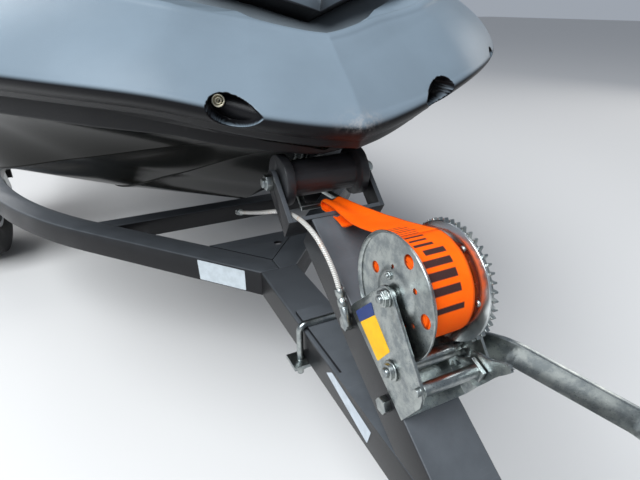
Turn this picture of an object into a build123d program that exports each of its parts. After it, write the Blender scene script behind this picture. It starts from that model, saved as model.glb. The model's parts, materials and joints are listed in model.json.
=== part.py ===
from build123d import *
import os
from math import sin, cos, tan, radians, degrees, atan2, hypot, sqrt

# Personal watercraft on its single-axle trailer, in millimetres.
# +X is the port side, +Y is aft, +Z is up, and the ground is Z = 0.

os.makedirs("parts", exist_ok=True)


# Driving dimensions

# Overall sizes
trailer_w = 1590        # over the mudguards
craft_len = 2809        # from the rim's foremost point to its sternmost
craft_w = 1186          # over the rim
craft_h = 973           # from the keel to the handlebar's ends

# Winch drum axis, from which the bow and the post are measured
drum_x = -2.5
drum_y = -1075
drum_z = 630

# Fits
pin_gap = 0.05          # radial running clearance of a pin in its bore
soft_gap = 0.3          # what rests on or beside a moving or soft piece

# Trailer frame
tube_w = 50             # width of a frame tube
tube_h = 50             # height of a frame tube
tube_edge = 4           # rounded long edges of the tubes
frame_z = 398           # underside of the frame
bar_w = 70              # drawbar width
bar_front_y = -1715
vertex_y = -682         # where drawbar and A-frame meet
spread = 41             # half angle of the A-frame, degrees
bend_r = 1050           # outer radius of a rail's bend
web_y = -540            # aft edge of the web plate
web_t = 6
cross_drop = 10         # cross-members lie this much below the rails' top
cross_w = 40

# Wheels
wheel_r = 243
tyre_w = 145
rim_r = 127
stub_r = 15
arm_lead = 95           # the suspension arm's pivot lies this far forward of the stub
beam_h = 50

# Mudguards
guard_r = 283
guard_t = 3
guard_w = 190
guard_lip = 14
guard_start = -8        # the guard's rear edge, degrees above the axle
guard_arc = 196

# Half widths that follow from the trailer's
wheel_x = (trailer_w - guard_w) / 2     # middle of a wheel
rail_x = wheel_x - 120                  # outer face of the parallel rails

# Jockey wheel
jockey_x = -(bar_w / 2 + 46)
jockey_y = -1455
jockey_r = 100
jockey_w = 50
jockey_trail = 36

# Coupling
ball_r = 25.2
coupling_w = 70
nose_r = 38

# Winch post
lean = 32               # the post's angle above the drawbar, degrees
post_off = 79.2         # drum axis to the post's front face
post_w = 70
post_x = -3
post_d = 52
post_top = 150          # distance along the post from below the drum to its end
post_low = -250         # where its blank starts, before its foot is cut level

# Winch
plate_t = 3
frame_left = -40        # outer face of the starboard side plate
frame_right = 41        # outer face of the port side plate
flange_r = 64
flange_x = -30
flange_t = 2
dish_r = 30             # the flanges are pressed outward inside this radius
dish_t = 2
ring_r = 60.5           # the port flange, riveted to the gear
ring_t = 2.5
gear_x = 33
gear_t = 5
gear_teeth = 46
pinion_teeth = 11
shaft_s = -54.3         # drive shaft, along the post
shaft_n = 27            # drive shaft, off the post's face
centre_gap = hypot(shaft_s, shaft_n - post_off)
shaft_r = 8
pinion_w = 6
axle_r = 6
roll_r = 50
roll_w = 50
core_r = 18
strap_t = 2.4

# Bow roller
roller_y = drum_y + 227
roller_z = drum_z + 45
roller_half = 58
roller_r = 23.5
disc_r = 33
leg_x = 61              # inner face of a bracket leg
leg_t = 6
leg_w = 30

# Craft, heights and stations
bond_z = drum_z + 155   # low edge of the deck's rim along the sides
skirt_h = 30            # from the rim's low edge up to its widest line
skirt_in = 26           # the low edge lies this far inboard of the widest line along the sides
face_lean = 1.05        # the face above the widest line leans in by this for each mm of height
gunwale_z = drum_z + 258
band_h = 27             # black band under the rim
band_in = 15
band_w = 60
hull_top_z = bond_z - band_h
floor_z = bond_z + 17
keel_z = drum_z - 135
plinth_top = keel_z + craft_h - 438
steer_z = keel_z + craft_h - 58
deadrise = 20           # the bottom's slope beside the keel, degrees

# Widest line of the rim on the port side, from the stem to the parallel sides
# Columns: x as a share of the half width, y aft of the drum, z above the drum, inset of the low edge
corner_table = [
    (0, 117, 133, 12),
    (0.084, 131, 137, 18),
    (0.185, 150, 146, 27),
    (0.337, 183, 166, 36),
    (0.506, 258, 176, 38),
    (0.666, 355, 182, 34),
    (0.843, 490, 185, 28),
    (0.953, 680, 185, skirt_in),
    (1, 1050, 185, skirt_in),
]
# The rim's low edge and the face's upper lip in side view: y and z from the drum
low_edge = [(50, 85), (130, 103), (182, 115), (225, 131), (262, 143), (331, 149), (480, 155), (3300, 155)]
lip_edge = [(150, 200), (204, 212), (232, 229), (251, 238), (290, 249), (340, 258)]
stern_corner = 130
side_x = craft_w / 2
bow_y = drum_y + 117    # the rim's foremost point
stern_y = bow_y + craft_len - skirt_in

# What keeps its place from the stern
axle_y = stern_y - 1150
rail_end_y = stern_y - 20
rear_cross_y = stern_y - 340
well_front = drum_y + 1200
seat_front = drum_y + 1200
seat_rear = stern_y - 520
plinth_front = drum_y + 1175
plinth_rear = stern_y - 475
mat_front = drum_y + 1230
mat_rear = stern_y - 490


def save(shape, name):
    shape.label = name
    export_step(shape, f"parts/{name}.step")


def save_pair(shape, name):
    # the shape is modelled on the port side
    save(shape, name + "_left")
    save(mirror(shape, about=Plane.YZ), name + "_right")


def save_both(shape, name):
    # a port-side shape and its mirror image as two solids of one node
    save(Compound(children=[*shape.solids(), *mirror(shape, about=Plane.YZ).solids()]), name)


def station(y):
    # cross-section plane whose sketch coordinates are (x, z)
    return Plane.XZ.offset(-y)


def along_post(x, s=0, n=0):
    # lengthwise plane with its origin s along the post and n off its front face,
    # whose sketch coordinates run along the post and off its face
    a = radians(lean)
    return Plane(origin=(x, *post_yz(s, n)), x_dir=(0, cos(a), sin(a)), z_dir=(1, 0, 0))


def post_yz(s, n):
    # (y, z) of a point given along the post and off its front face
    a = radians(lean)
    y = drum_y + post_off * sin(a) + s * cos(a) - n * sin(a)
    z = drum_z - post_off * cos(a) + s * sin(a) + n * cos(a)
    return y, z


# Trailer frame
frame_top = frame_z + tube_h
bend_rise = bend_r * (1 - cos(radians(spread)))
bend_y = (vertex_y + (rail_x - bar_w / 2 - bend_rise) / tan(radians(spread))
          + bend_r * sin(radians(spread)))
bend_x = rail_x - bend_r

with BuildPart() as drawbar:
    with BuildSketch(station(bar_front_y)):
        with Locations((0, frame_z + tube_h / 2)):
            RectangleRounded(bar_w, tube_h, tube_edge)
    extrude(amount=-(vertex_y - bar_front_y))
save(drawbar.part, "drawbar")

inner_r = bend_r - tube_w
bend_cos = cos(radians(spread))
bend_sin = sin(radians(spread))
outer_start = (bend_x + bend_r * bend_cos, bend_y - bend_r * bend_sin)
inner_start = (bend_x + inner_r * bend_cos, bend_y - inner_r * bend_sin)
crotch_y = inner_start[1] - inner_start[0] / tan(radians(spread))

with BuildPart() as frame_rail:
    with BuildSketch(Plane.XY.offset(frame_z)):
        with BuildLine():
            Polyline((0, crotch_y), (0, vertex_y), (bar_w / 2, vertex_y), outer_start)
            CenterArc((bend_x, bend_y), bend_r, -spread, spread)
            Polyline((rail_x, bend_y), (rail_x, rail_end_y), (rail_x - tube_w, rail_end_y),
                     (rail_x - tube_w, bend_y))
            CenterArc((bend_x, bend_y), inner_r, -spread, spread)
            Line(inner_start, (0, crotch_y))
        make_face()
    extrude(amount=tube_h)
save_pair(frame_rail.part, "frame_rail")
rail_mirror = mirror(frame_rail.part, about=Plane.YZ)

web_half = (web_y - crotch_y) * tan(radians(spread))
with BuildPart() as web_plate:
    with BuildSketch(Plane.XY.offset(frame_top - web_t)):
        with BuildLine():
            Polyline((0, crotch_y), (web_half, web_y), (-web_half, web_y), close=True)
        make_face()
        with Locations((bar_w / 2, web_y - 46)):
            Circle(8, mode=Mode.SUBTRACT)
    extrude(amount=web_t)

# Columns: station, half length before it is cut to the rails
cross_table = [(drum_y + 760, 318), (axle_y + 40, rail_x - tube_w), (rear_cross_y, rail_x - tube_w)]
with BuildPart() as cross_members:
    for y, half in cross_table:
        with BuildSketch(Plane.XY.offset(frame_z)):
            with Locations((0, y)):
                Rectangle(2 * half, cross_w)
        extrude(amount=tube_h - cross_drop)
    add(frame_rail.part, mode=Mode.SUBTRACT)
    add(rail_mirror, mode=Mode.SUBTRACT)
save(cross_members.part, "cross_members")

# Axle beam and trailing arms
pivot_y = axle_y - arm_lead
pivot_z = frame_z - beam_h / 2
with BuildPart() as axle_beam:
    with BuildSketch(Plane.YZ.offset(-rail_x)):
        with Locations((pivot_y, pivot_z)):
            RectangleRounded(beam_h, beam_h, tube_edge)
    extrude(amount=2 * rail_x)
save(axle_beam.part, "axle_beam")

arm_x = rail_x
arm_t = 24
with BuildPart() as suspension_arm:
    with BuildSketch(Plane.YZ.offset(arm_x)):
        with BuildLine():
            turn = atan2(wheel_r - pivot_z, axle_y - pivot_y)
            nx, nz = -sin(turn), cos(turn)
            Polyline((pivot_y + 30 * nx, pivot_z + 30 * nz), (axle_y + 24 * nx, wheel_r + 24 * nz),
                     (axle_y - 24 * nx, wheel_r - 24 * nz), (pivot_y - 30 * nx, pivot_z - 30 * nz),
                     close=True)
        make_face()
        with Locations((pivot_y, pivot_z)):
            Circle(30)
        with Locations((axle_y, wheel_r)):
            Circle(24)
    extrude(amount=arm_t)
    with BuildSketch(Plane.YZ.offset(arm_x + arm_t)):
        with Locations((axle_y, wheel_r)):
            Circle(stub_r)
    extrude(amount=wheel_x + 40 - arm_x - arm_t)
save_both(suspension_arm.part, "suspension_arms")

# Wheels
hub_in = arm_x + arm_t + 6 - wheel_x
wheel_plane = Plane((wheel_x, axle_y, wheel_r))
with BuildPart() as rim:
    with BuildSketch(wheel_plane):
        with BuildLine():
            Polyline((-58, rim_r - 5), (-58, rim_r + 12), (-53, rim_r + 12), (-53, rim_r),
                     (53, rim_r), (53, rim_r + 12), (58, rim_r + 12), (58, rim_r - 5),
                     (22, rim_r - 5), (22, 96), (30, 84), (30, 60), (18, 46), (18, 34),
                     (44, 34), (44, 28), (41, 28), (41, stub_r + pin_gap),
                     (hub_in, stub_r + pin_gap), (hub_in, 34), (12, 34), (12, 48), (24, 62),
                     (24, 82), (16, 94), (16, rim_r - 5), close=True)
        make_face()
    revolve(axis=Axis((0, axle_y, wheel_r), (1, 0, 0)))
save_pair(rim.part, "rim")

with BuildPart() as tyre:
    with BuildSketch(wheel_plane):
        with BuildLine():
            half = tyre_w / 2
            Line((-53, rim_r), (-53, rim_r + 16))
            ThreePointArc((-53, rim_r + 16), (-half, rim_r + 55), (-60, wheel_r - 8))
            ThreePointArc((-60, wheel_r - 8), (0, wheel_r), (60, wheel_r - 8))
            ThreePointArc((60, wheel_r - 8), (half, rim_r + 55), (53, rim_r + 16))
            Polyline((53, rim_r + 16), (53, rim_r), (42, rim_r), (42, rim_r + 18))
            ThreePointArc((42, rim_r + 18), (half - 9, rim_r + 55), (50, wheel_r - 18))
            ThreePointArc((50, wheel_r - 18), (0, wheel_r - 12), (-50, wheel_r - 18))
            ThreePointArc((-50, wheel_r - 18), (9 - half, rim_r + 55), (-42, rim_r + 18))
            Polyline((-42, rim_r + 18), (-42, rim_r), (-53, rim_r))
        make_face()
    revolve(axis=Axis((0, axle_y, wheel_r), (1, 0, 0)))
save_pair(tyre.part, "tyre")

# Mudguards
guard_in = wheel_x - guard_w / 2
# Columns: inboard face of the strip, its width, its inner radius
guard_table = [(0, guard_w, guard_r), (0, guard_t, guard_r - guard_lip),
               (guard_w - guard_t, guard_t, guard_r - guard_lip)]
with BuildPart() as mudguard:
    for x, width, low_r in guard_table:
        with BuildSketch(Plane.YZ.offset(guard_in + x).shift_origin((guard_in + x, axle_y, wheel_r))):
            with BuildLine():
                CenterArc((0, 0), guard_r + guard_t, guard_start, guard_arc)
                CenterArc((0, 0), low_r, guard_start, guard_arc)
                for angle in (guard_start, guard_start + guard_arc):
                    c, s = cos(radians(angle)), sin(radians(angle))
                    Line((low_r * c, low_r * s), ((guard_r + guard_t) * c, (guard_r + guard_t) * s))
            make_face()
        extrude(amount=width)
save_both(mudguard.part, "mudguards")

# The brackets meet the guard's inner lip where it passes their height
guard_lead = sqrt((guard_r - guard_lip / 2) ** 2 - (frame_top - 6 - wheel_r) ** 2)
with BuildPart() as guard_brackets:
    with BuildSketch(Plane.XY.offset(frame_top - 10)):
        for side in (-1, 1):
            for lead in (-guard_lead, guard_lead):
                with Locations((side * (rail_x + guard_in) / 2, axle_y + lead)):
                    Rectangle(guard_in - rail_x, 40)
    extrude(amount=8)
save(guard_brackets.part, "guard_brackets")

# Coupling
with BuildPart() as coupling_head:
    with BuildSketch(Plane.XY.offset(frame_top - 32)):
        with Locations((0, bar_front_y - 102)):
            Circle(nose_r)
        with Locations((0, bar_front_y - 14)):
            Rectangle(coupling_w, 176)
    extrude(amount=60)
    fillet(coupling_head.faces().sort_by(Axis.Z)[-1].edges(), 8)
    with BuildSketch(Plane.XY.offset(frame_top - 40)):
        with Locations((0, bar_front_y + 100)):
            Rectangle(coupling_w + 2, 200)
    extrude(amount=40, mode=Mode.SUBTRACT)
    with BuildSketch(Plane.XY.offset(frame_top - 32)):
        with Locations((0, bar_front_y - 102)):
            Circle(ball_r)
    extrude(amount=30, mode=Mode.SUBTRACT)
    with Locations((0, bar_front_y - 102, frame_top - 2)):
        Sphere(ball_r, mode=Mode.SUBTRACT)
    # Ears that carry the release lever
    for x in (-30, 22):
        with BuildSketch(Plane.YZ.offset(x)):
            with Locations((bar_front_y - 20, frame_top + 34)):
                Rectangle(32, 24)
                with Locations((0, 12)):
                    Circle(14)
        extrude(amount=8)
    with BuildSketch(Plane.YZ.offset(-40)):
        with Locations((bar_front_y - 20, frame_top + 46)):
            Circle(5 + pin_gap)
    extrude(amount=80, mode=Mode.SUBTRACT)
save(coupling_head.part, "coupling_head")

lever_y = bar_front_y - 20
lever_z = frame_top + 46
with BuildPart() as coupling_lever:
    with BuildSketch(Plane.YZ.offset(-21.5)):
        with Locations((lever_y, lever_z)):
            Circle(12)
        with BuildLine():
            Polyline((lever_y - 8, lever_z + 9), (lever_y + 50, lever_z + 34),
                     (lever_y + 120, lever_z + 38), (lever_y + 120, lever_z + 26),
                     (lever_y + 52, lever_z + 20), (lever_y + 10, lever_z - 6), close=True)
        make_face()
    extrude(amount=43)
    with BuildSketch(Plane.YZ.offset(-34)):
        with Locations((lever_y, lever_z)):
            Circle(5)
    extrude(amount=68)
save(coupling_lever.part, "coupling_lever")

# Jockey wheel
jockey_top = frame_top + 190
jockey_low = frame_z - 90
with BuildPart() as jockey_tube:
    with BuildSketch(Plane.XY.offset(jockey_low)):
        with Locations((jockey_x, jockey_y)):
            Circle(24)
            Circle(21, mode=Mode.SUBTRACT)
    extrude(amount=jockey_top - jockey_low)
save(jockey_tube.part, "jockey_tube")

with BuildPart() as jockey_clamp:
    with BuildSketch(Plane.XY.offset(frame_z + 4)):
        with Locations((jockey_x, jockey_y)):
            Circle(32)
        with Locations(((jockey_x - bar_w / 2) / 2, jockey_y)):
            Rectangle(abs(jockey_x) - bar_w / 2, 46)
        with Locations((jockey_x, jockey_y)):
            Circle(24, mode=Mode.SUBTRACT)
    extrude(amount=tube_h - 8)
save(jockey_clamp.part, "jockey_clamp")

stem_r = 20.9
fork_half = jockey_w / 2 + 6
jockey_axle_y = jockey_y + jockey_trail
with BuildPart() as jockey_fork:
    with BuildSketch(Plane.XY.offset(2 * jockey_r + 14)):
        with Locations((jockey_x, jockey_y)):
            Circle(stem_r)
    extrude(amount=jockey_top - 30 - 2 * jockey_r - 14)
    with BuildSketch(Plane.XY.offset(2 * jockey_r + 8)):
        with Locations((jockey_x, jockey_y + 8)):
            Rectangle(2 * fork_half + 12, 60)
    extrude(amount=6)
    for x in (-fork_half - 6, fork_half):
        with BuildSketch(Plane.YZ.offset(jockey_x + x)):
            with BuildLine():
                Polyline((jockey_y - 22, 2 * jockey_r + 14), (jockey_y + 38, 2 * jockey_r + 14),
                         (jockey_axle_y + 16, jockey_r), (jockey_axle_y - 16, jockey_r), close=True)
            make_face()
            with Locations((jockey_axle_y, jockey_r)):
                Circle(16)
        extrude(amount=6)
    with BuildSketch(Plane.YZ.offset(jockey_x - fork_half - 10)):
        with Locations((jockey_axle_y, jockey_r)):
            Circle(8)
    extrude(amount=2 * fork_half + 20)
save(jockey_fork.part, "jockey_fork")

with BuildPart() as jockey_wheel:
    with BuildSketch(Plane((jockey_x, jockey_axle_y, jockey_r))):
        with BuildLine():
            Polyline((-25, 8 + pin_gap), (-25, 22), (-16, 26), (-16, 62), (-25, 68), (-25, 88))
            ThreePointArc((-25, 88), (0, jockey_r), (25, 88))
            Polyline((25, 88), (25, 68), (16, 62), (16, 26), (25, 22), (25, 8 + pin_gap),
                     (-25, 8 + pin_gap))
        make_face()
    revolve(axis=Axis((0, jockey_axle_y, jockey_r), (1, 0, 0)))
save(jockey_wheel.part, "jockey_wheel")

# Winch post, a folded channel that lies back over its foot plate
foot_t = 6
foot_front = drum_y - 150
foot_rear = drum_y + 250
foot_step = drum_y + 100  # the foot is narrower aft of here, between the U-bolt's legs
with BuildPart() as foot_plate:
    with BuildSketch(Plane.XY.offset(frame_top)):
        with Locations((post_x, (foot_front + foot_step) / 2)):
            Rectangle(post_w, foot_step - foot_front)
        with Locations((0, (foot_front + foot_rear) / 2)):
            Rectangle(bar_w - 12, foot_rear - foot_front)
    extrude(amount=foot_t)
save(Compound(children=[web_plate.part.solid(), foot_plate.part.solid()]), "frame_plates")

post_left = post_x - post_w / 2
with BuildPart() as winch_post:
    with BuildSketch(along_post(post_left)):
        with BuildLine():
            Polyline((post_low, 0), (post_top, 0), (post_top, -post_d), (post_low, -post_d), close=True)
        make_face()
    extrude(amount=post_w)
    with BuildSketch(along_post(post_left + 4)):
        with BuildLine():
            Polyline((post_low, -4), (post_top - 20, -4), (post_top - 20, -post_d - 1),
                     (post_low, -post_d - 1), close=True)
        make_face()
    extrude(amount=post_w - 8, mode=Mode.SUBTRACT)
    with BuildSketch(Plane.XY.offset(frame_top + foot_t)):
        with Locations((0, drum_y)):
            Rectangle(600, 800)
    extrude(amount=-300, mode=Mode.SUBTRACT)
save(winch_post.part, "winch_post")

# Columns: y and z of the bolts through the post's sides
post_bolt_table = [(drum_y - 12, drum_z - 123), (drum_y + 70, drum_z - 74)]
with BuildPart() as post_bolts:
    for y, z in post_bolt_table:
        with BuildSketch(Plane.YZ.offset(post_left)):
            with Locations((y, z)):
                RegularPolygon(9.5, 6)
        extrude(amount=-8)
        with BuildSketch(Plane.YZ.offset(post_left + post_w)):
            with Locations((y, z)):
                RegularPolygon(9.5, 6)
        extrude(amount=8)

# U-bolt that clamps the foot to the drawbar
clamp_r = 5
clamp_y = drum_y + 207
clamp_x = bar_w / 2 + clamp_r + 1
clamp_top = frame_top + foot_t + clamp_r + pin_gap
with BuildPart() as clamp_bolt:
    with BuildLine():
        FilletPolyline((-clamp_x, clamp_y, frame_z - 26), (-clamp_x, clamp_y, clamp_top),
                       (clamp_x, clamp_y, clamp_top), (clamp_x, clamp_y, frame_z - 26), radius=10)
    with BuildSketch(Plane(origin=(-clamp_x, clamp_y, frame_z - 26), z_dir=(0, 0, 1))):
        Circle(clamp_r)
    sweep()
    with BuildSketch(Plane.XY.offset(frame_z - 6)):
        with Locations((0, clamp_y)):
            Rectangle(2 * clamp_x + 32, 34)
    extrude(amount=6)
    with BuildSketch(Plane.XY.offset(frame_z - 16)):
        with Locations((-clamp_x, clamp_y), (clamp_x, clamp_y)):
            RegularPolygon(9.5, 6)
    extrude(amount=10)
save(clamp_bolt.part, "clamp_bolt")

# Bow roller and its bracket
with BuildPart() as roller_bracket:
    with BuildSketch(along_post(-leg_x - leg_t)):
        with BuildLine():
            Polyline((post_top, -leg_w - 1), (post_top, -1), (post_top + leg_t, -1),
                     (post_top + leg_t, -leg_w - 1), close=True)
        make_face()
    extrude(amount=2 * (leg_x + leg_t))
    a = radians(lean)
    lead = roller_y - drum_y - post_off * sin(a)
    rise = roller_z - drum_z + post_off * cos(a)
    axis_s = lead * cos(a) + rise * sin(a)
    axis_n = rise * cos(a) - lead * sin(a)
    for x in (-leg_x - leg_t, leg_x):
        with BuildSketch(along_post(x)):
            with BuildLine():
                Polyline((post_top, -leg_w - 1), (post_top, -1), (axis_s, axis_n + leg_w / 2),
                         (axis_s, axis_n - leg_w / 2), close=True)
            make_face()
            with Locations((axis_s, axis_n)):
                Circle(leg_w / 2)
                Circle(axle_r + pin_gap, mode=Mode.SUBTRACT)
        extrude(amount=leg_t)
save(roller_bracket.part, "roller_bracket")

with BuildPart() as roller_pin:
    with BuildSketch(Plane.YZ.offset(-leg_x - leg_t - 12)):
        with Locations((roller_y, roller_z)):
            Circle(axle_r)
    extrude(amount=2 * (leg_x + leg_t) + 24)
    for x, grow in ((-leg_x - leg_t, -8), (leg_x + leg_t, 8)):
        with BuildSketch(Plane.YZ.offset(x)):
            with Locations((roller_y, roller_z)):
                RegularPolygon(10.5, 6)
        extrude(amount=grow)
save(Compound(children=[*post_bolts.part.solids(), *roller_pin.part.solids()]), "frame_bolts")

with BuildPart() as bow_roller:
    with BuildSketch(Plane((0, roller_y, roller_z))):
        with BuildLine():
            Polyline((-roller_half, axle_r + pin_gap), (-roller_half, disc_r), (-roller_half + 12, disc_r),
                     (-roller_half + 15, roller_r), (roller_half - 15, roller_r),
                     (roller_half - 12, disc_r), (roller_half, disc_r),
                     (roller_half, axle_r + pin_gap), close=True)
        make_face()
    revolve(axis=Axis((0, roller_y, roller_z), (1, 0, 0)))
save(bow_roller.part, "bow_roller")

# Winch frame, one folded plate
drum_n = post_off
with BuildPart() as winch_frame:
    for x in (frame_left, frame_right - plate_t):
        with BuildSketch(along_post(x)):
            with BuildLine():
                Polyline((28, 0), (28, 10), (13, drum_n - 3))
                ThreePointArc((13, drum_n - 3), (7, drum_n + 9), (-6, drum_n + 10))
                Polyline((-6, drum_n + 10), (-84, 63), (-92, 56), (-97, 45), (-97, 0), (28, 0))
            make_face()
            with Locations((0, drum_n)):
                Circle(axle_r, mode=Mode.SUBTRACT)
            with Locations((shaft_s, shaft_n)):
                Circle(shaft_r + pin_gap, mode=Mode.SUBTRACT)
            with Locations((-85, 57)):
                Circle(4, mode=Mode.SUBTRACT)
        extrude(amount=plate_t)
    with BuildSketch(along_post(frame_left)):
        with BuildLine():
            Polyline((-97, 0), (28, 0), (28, plate_t), (-97, plate_t), close=True)
        make_face()
    extrude(amount=frame_right - frame_left)
save(winch_frame.part, "winch_frame")

# Bolt and spacers between the side plates
with BuildPart() as winch_axle:
    with BuildSketch(along_post(frame_left - 7)):
        with Locations((0, drum_n)):
            Circle(axle_r)
    extrude(amount=frame_right - frame_left + 14)
    for x, grow in ((frame_left, -6), (frame_right, 6)):
        with BuildSketch(along_post(x)):
            with Locations((0, drum_n)):
                RegularPolygon(9, 6)
        extrude(amount=grow)
    with BuildSketch(along_post(frame_left + plate_t)):
        with Locations((0, drum_n)):
            Circle(9)
    extrude(amount=flange_x - flange_t / 2 - dish_t - 1 - frame_left - plate_t)

with BuildPart() as winch_spacer:
    with BuildSketch(along_post(frame_left - 4)):
        with Locations((-85, 57)):
            Circle(4)
    extrude(amount=frame_right - frame_left + 8)
    with BuildSketch(along_post(frame_left + plate_t)):
        with Locations((-85, 57)):
            Circle(6.5)
    extrude(amount=24 - frame_left - plate_t)
save(Compound(children=[winch_axle.part.solid(), winch_spacer.part.solid()]), "winch_bolts")


module = 2 * centre_gap / (gear_teeth + pinion_teeth)
# Columns: share of the pitch from the tooth's middle, height over the pitch circle in modules
gear_tooth = [(-0.30, -1.25), (-0.10, 0.9), (0.10, 0.9), (0.30, -1.25)]
pinion_tooth = [(-0.28, -1.25), (-0.266, -0.2), (-0.10, 0.9), (0.10, 0.9), (0.266, -0.2), (0.28, -1.25)]


def gear_profile(teeth, tooth, phase):
    # straight-flanked outline of a spur gear, with a tooth centred on the phase angle
    points = []
    for k in range(teeth):
        for share, height in tooth:
            turn = radians(phase + (k + share) * 360 / teeth)
            radius = (teeth / 2 + height) * module
            points.append((radius * cos(turn), radius * sin(turn)))
    return points


# direction from drum to shaft in the post's own plane
mesh_turn = degrees(atan2(shaft_n - drum_n, shaft_s))

# Columns: distance from the axle, angle, radius of the holes in the starboard flange
flange_holes = [(41, 62, 5.5), (41, 118, 4), (41, -28, 5.5), (33, 20, 2.6), (30, 96, 2), (46, -48, 1.6),
                (38, -64, 1.6)]
with BuildPart() as winch_drum:
    # Starboard flange with a rolled rim and a pressed middle
    with BuildSketch(along_post(flange_x - flange_t / 2)):
        with Locations((0, drum_n)):
            Circle(flange_r)
    extrude(amount=flange_t)
    with BuildSketch(along_post(flange_x - flange_t / 2 - dish_t)):
        with Locations((0, drum_n)):
            Circle(flange_r)
            Circle(flange_r - 2, mode=Mode.SUBTRACT)
    extrude(amount=dish_t)
    with BuildSketch(along_post(flange_x - flange_t / 2 - dish_t)):
        with Locations((0, drum_n)):
            Circle(dish_r - 6)
    with BuildSketch(along_post(flange_x - flange_t / 2)):
        with Locations((0, drum_n)):
            Circle(dish_r)
    loft()
    with BuildSketch(along_post(flange_x - flange_t / 2 - dish_t)):
        for away, turn, hole_r in flange_holes:
            with Locations((away * cos(radians(turn)), drum_n + away * sin(radians(turn)))):
                Circle(hole_r)
    extrude(amount=flange_t + dish_t, mode=Mode.SUBTRACT)
    # Core, port flange and gear
    with BuildSketch(along_post(flange_x + flange_t / 2)):
        with Locations((0, drum_n)):
            Circle(core_r)
    extrude(amount=gear_x - gear_t / 2 - flange_x - flange_t / 2)
    with BuildSketch(along_post(gear_x - gear_t / 2 - ring_t)):
        with Locations((0, drum_n)):
            Circle(ring_r)
    extrude(amount=ring_t)
    with BuildSketch(along_post(flange_x - flange_t / 2 - dish_t)):
        with Locations((0, drum_n)):
            Circle(axle_r + pin_gap)
    extrude(amount=80, mode=Mode.SUBTRACT)
    with BuildSketch(along_post(gear_x - gear_t / 2, 0, drum_n)):
        with BuildLine():
            Polyline(*gear_profile(gear_teeth, gear_tooth, mesh_turn), close=True)
        make_face()
        Circle(axle_r + pin_gap, mode=Mode.SUBTRACT)
    extrude(amount=gear_t)
save(winch_drum.part, "winch_drum")

with BuildPart() as strap_roll:
    with BuildSketch(along_post(drum_x - roll_w / 2)):
        with Locations((0, drum_n)):
            Circle(roll_r)
            Circle(core_r, mode=Mode.SUBTRACT)
    extrude(amount=roll_w)
save(strap_roll.part, "strap_roll")

# Drive shaft with its pinion, and the crank
shaft_y, shaft_z = post_yz(shaft_s, shaft_n)
arm_root = 54
pinion_x = gear_x - gear_t / 2 + soft_gap   # clear of the port flange
with BuildPart() as crank:
    # Columns: start and length of each stretch of the round shaft
    for x, length in ((frame_left - 6, pinion_x - frame_left + 6),
                      (pinion_x + pinion_w, arm_root + 8 - pinion_x - pinion_w)):
        with BuildSketch(along_post(x, shaft_s, shaft_n)):
            Circle(shaft_r)
        extrude(amount=length)
    with BuildSketch(along_post(pinion_x, shaft_s, shaft_n)):
        with BuildLine():
            Polyline(*gear_profile(pinion_teeth, pinion_tooth, mesh_turn + 180 + 180 / pinion_teeth),
                     close=True)
        make_face()
    extrude(amount=pinion_w)
    # Flat crank arm, bent outward and swept forward
    with BuildLine():
        FilletPolyline((arm_root, shaft_y + 18, shaft_z - 2), (arm_root + 12, shaft_y - 42, shaft_z + 17),
                       (130, shaft_y - 139, shaft_z - 14), (150, shaft_y - 225, shaft_z - 30), radius=30)
    with BuildSketch(Plane(origin=(arm_root, shaft_y + 18, shaft_z - 2), x_dir=(0, 0, 1),
                           z_dir=(12, -60, 19))):
        Rectangle(26, 6)
    sweep()
    with BuildSketch(Plane.YZ.offset(148)):
        with Locations((shaft_y - 216, shaft_z - 29)):
            Circle(7)
    extrude(amount=112)
save(crank.part, "crank")

with BuildPart() as crank_grip:
    with BuildSketch(Plane.YZ.offset(156)):
        with Locations((shaft_y - 216, shaft_z - 29)):
            Circle(15)
            Circle(7 + pin_gap, mode=Mode.SUBTRACT)
    extrude(amount=98)
save(crank_grip.part, "crank_grip")

# Ratchet pawl on the lower spacer
with BuildPart() as pawl:
    with BuildSketch(along_post(24)):
        with BuildLine():
            Polyline((-96, 52), (-92, 66), (-74, 62), (-68, 44), (-73, 42), (-82, 46), close=True)
        make_face()
        with Locations((-85, 57)):
            Circle(4 + pin_gap, mode=Mode.SUBTRACT)
    extrude(amount=4)
save(pawl.part, "pawl")

# Strap from the roll to the hook
hook_y = drum_y + 211
hook_z = drum_z + 10
run = hypot(hook_y - drum_y, hook_z - drum_z)
strap_base = roll_r + soft_gap
hook_t = 7.4
loop_r = hook_t * 0.75
loop_w = 34
leave = (atan2(hook_z - drum_z, hook_y - drum_y)
         + atan2(sqrt(run ** 2 - (strap_base - loop_r) ** 2), strap_base - loop_r))
tangent_y = drum_y + strap_base * cos(leave)
tangent_z = drum_z + strap_base * sin(leave)
with BuildPart() as strap_run:
    with BuildSketch(Plane.YZ.offset(drum_x - roll_w / 2 + 1)):
        with BuildLine():
            Polyline((tangent_y, tangent_z),
                     (hook_y + loop_r * cos(leave), hook_z + loop_r * sin(leave)),
                     (hook_y + (loop_r + strap_t) * cos(leave), hook_z + (loop_r + strap_t) * sin(leave)),
                     (tangent_y + strap_t * cos(leave), tangent_z + strap_t * sin(leave)), close=True)
        make_face()
    extrude(amount=roll_w - 2)
    with BuildSketch(Plane.YZ.offset(drum_x - loop_w / 2)):
        with Locations((hook_y, hook_z)):
            Circle(loop_r + strap_t)
            Circle(loop_r, mode=Mode.SUBTRACT)
    extrude(amount=loop_w)
save(strap_run.part, "strap_run")

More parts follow.
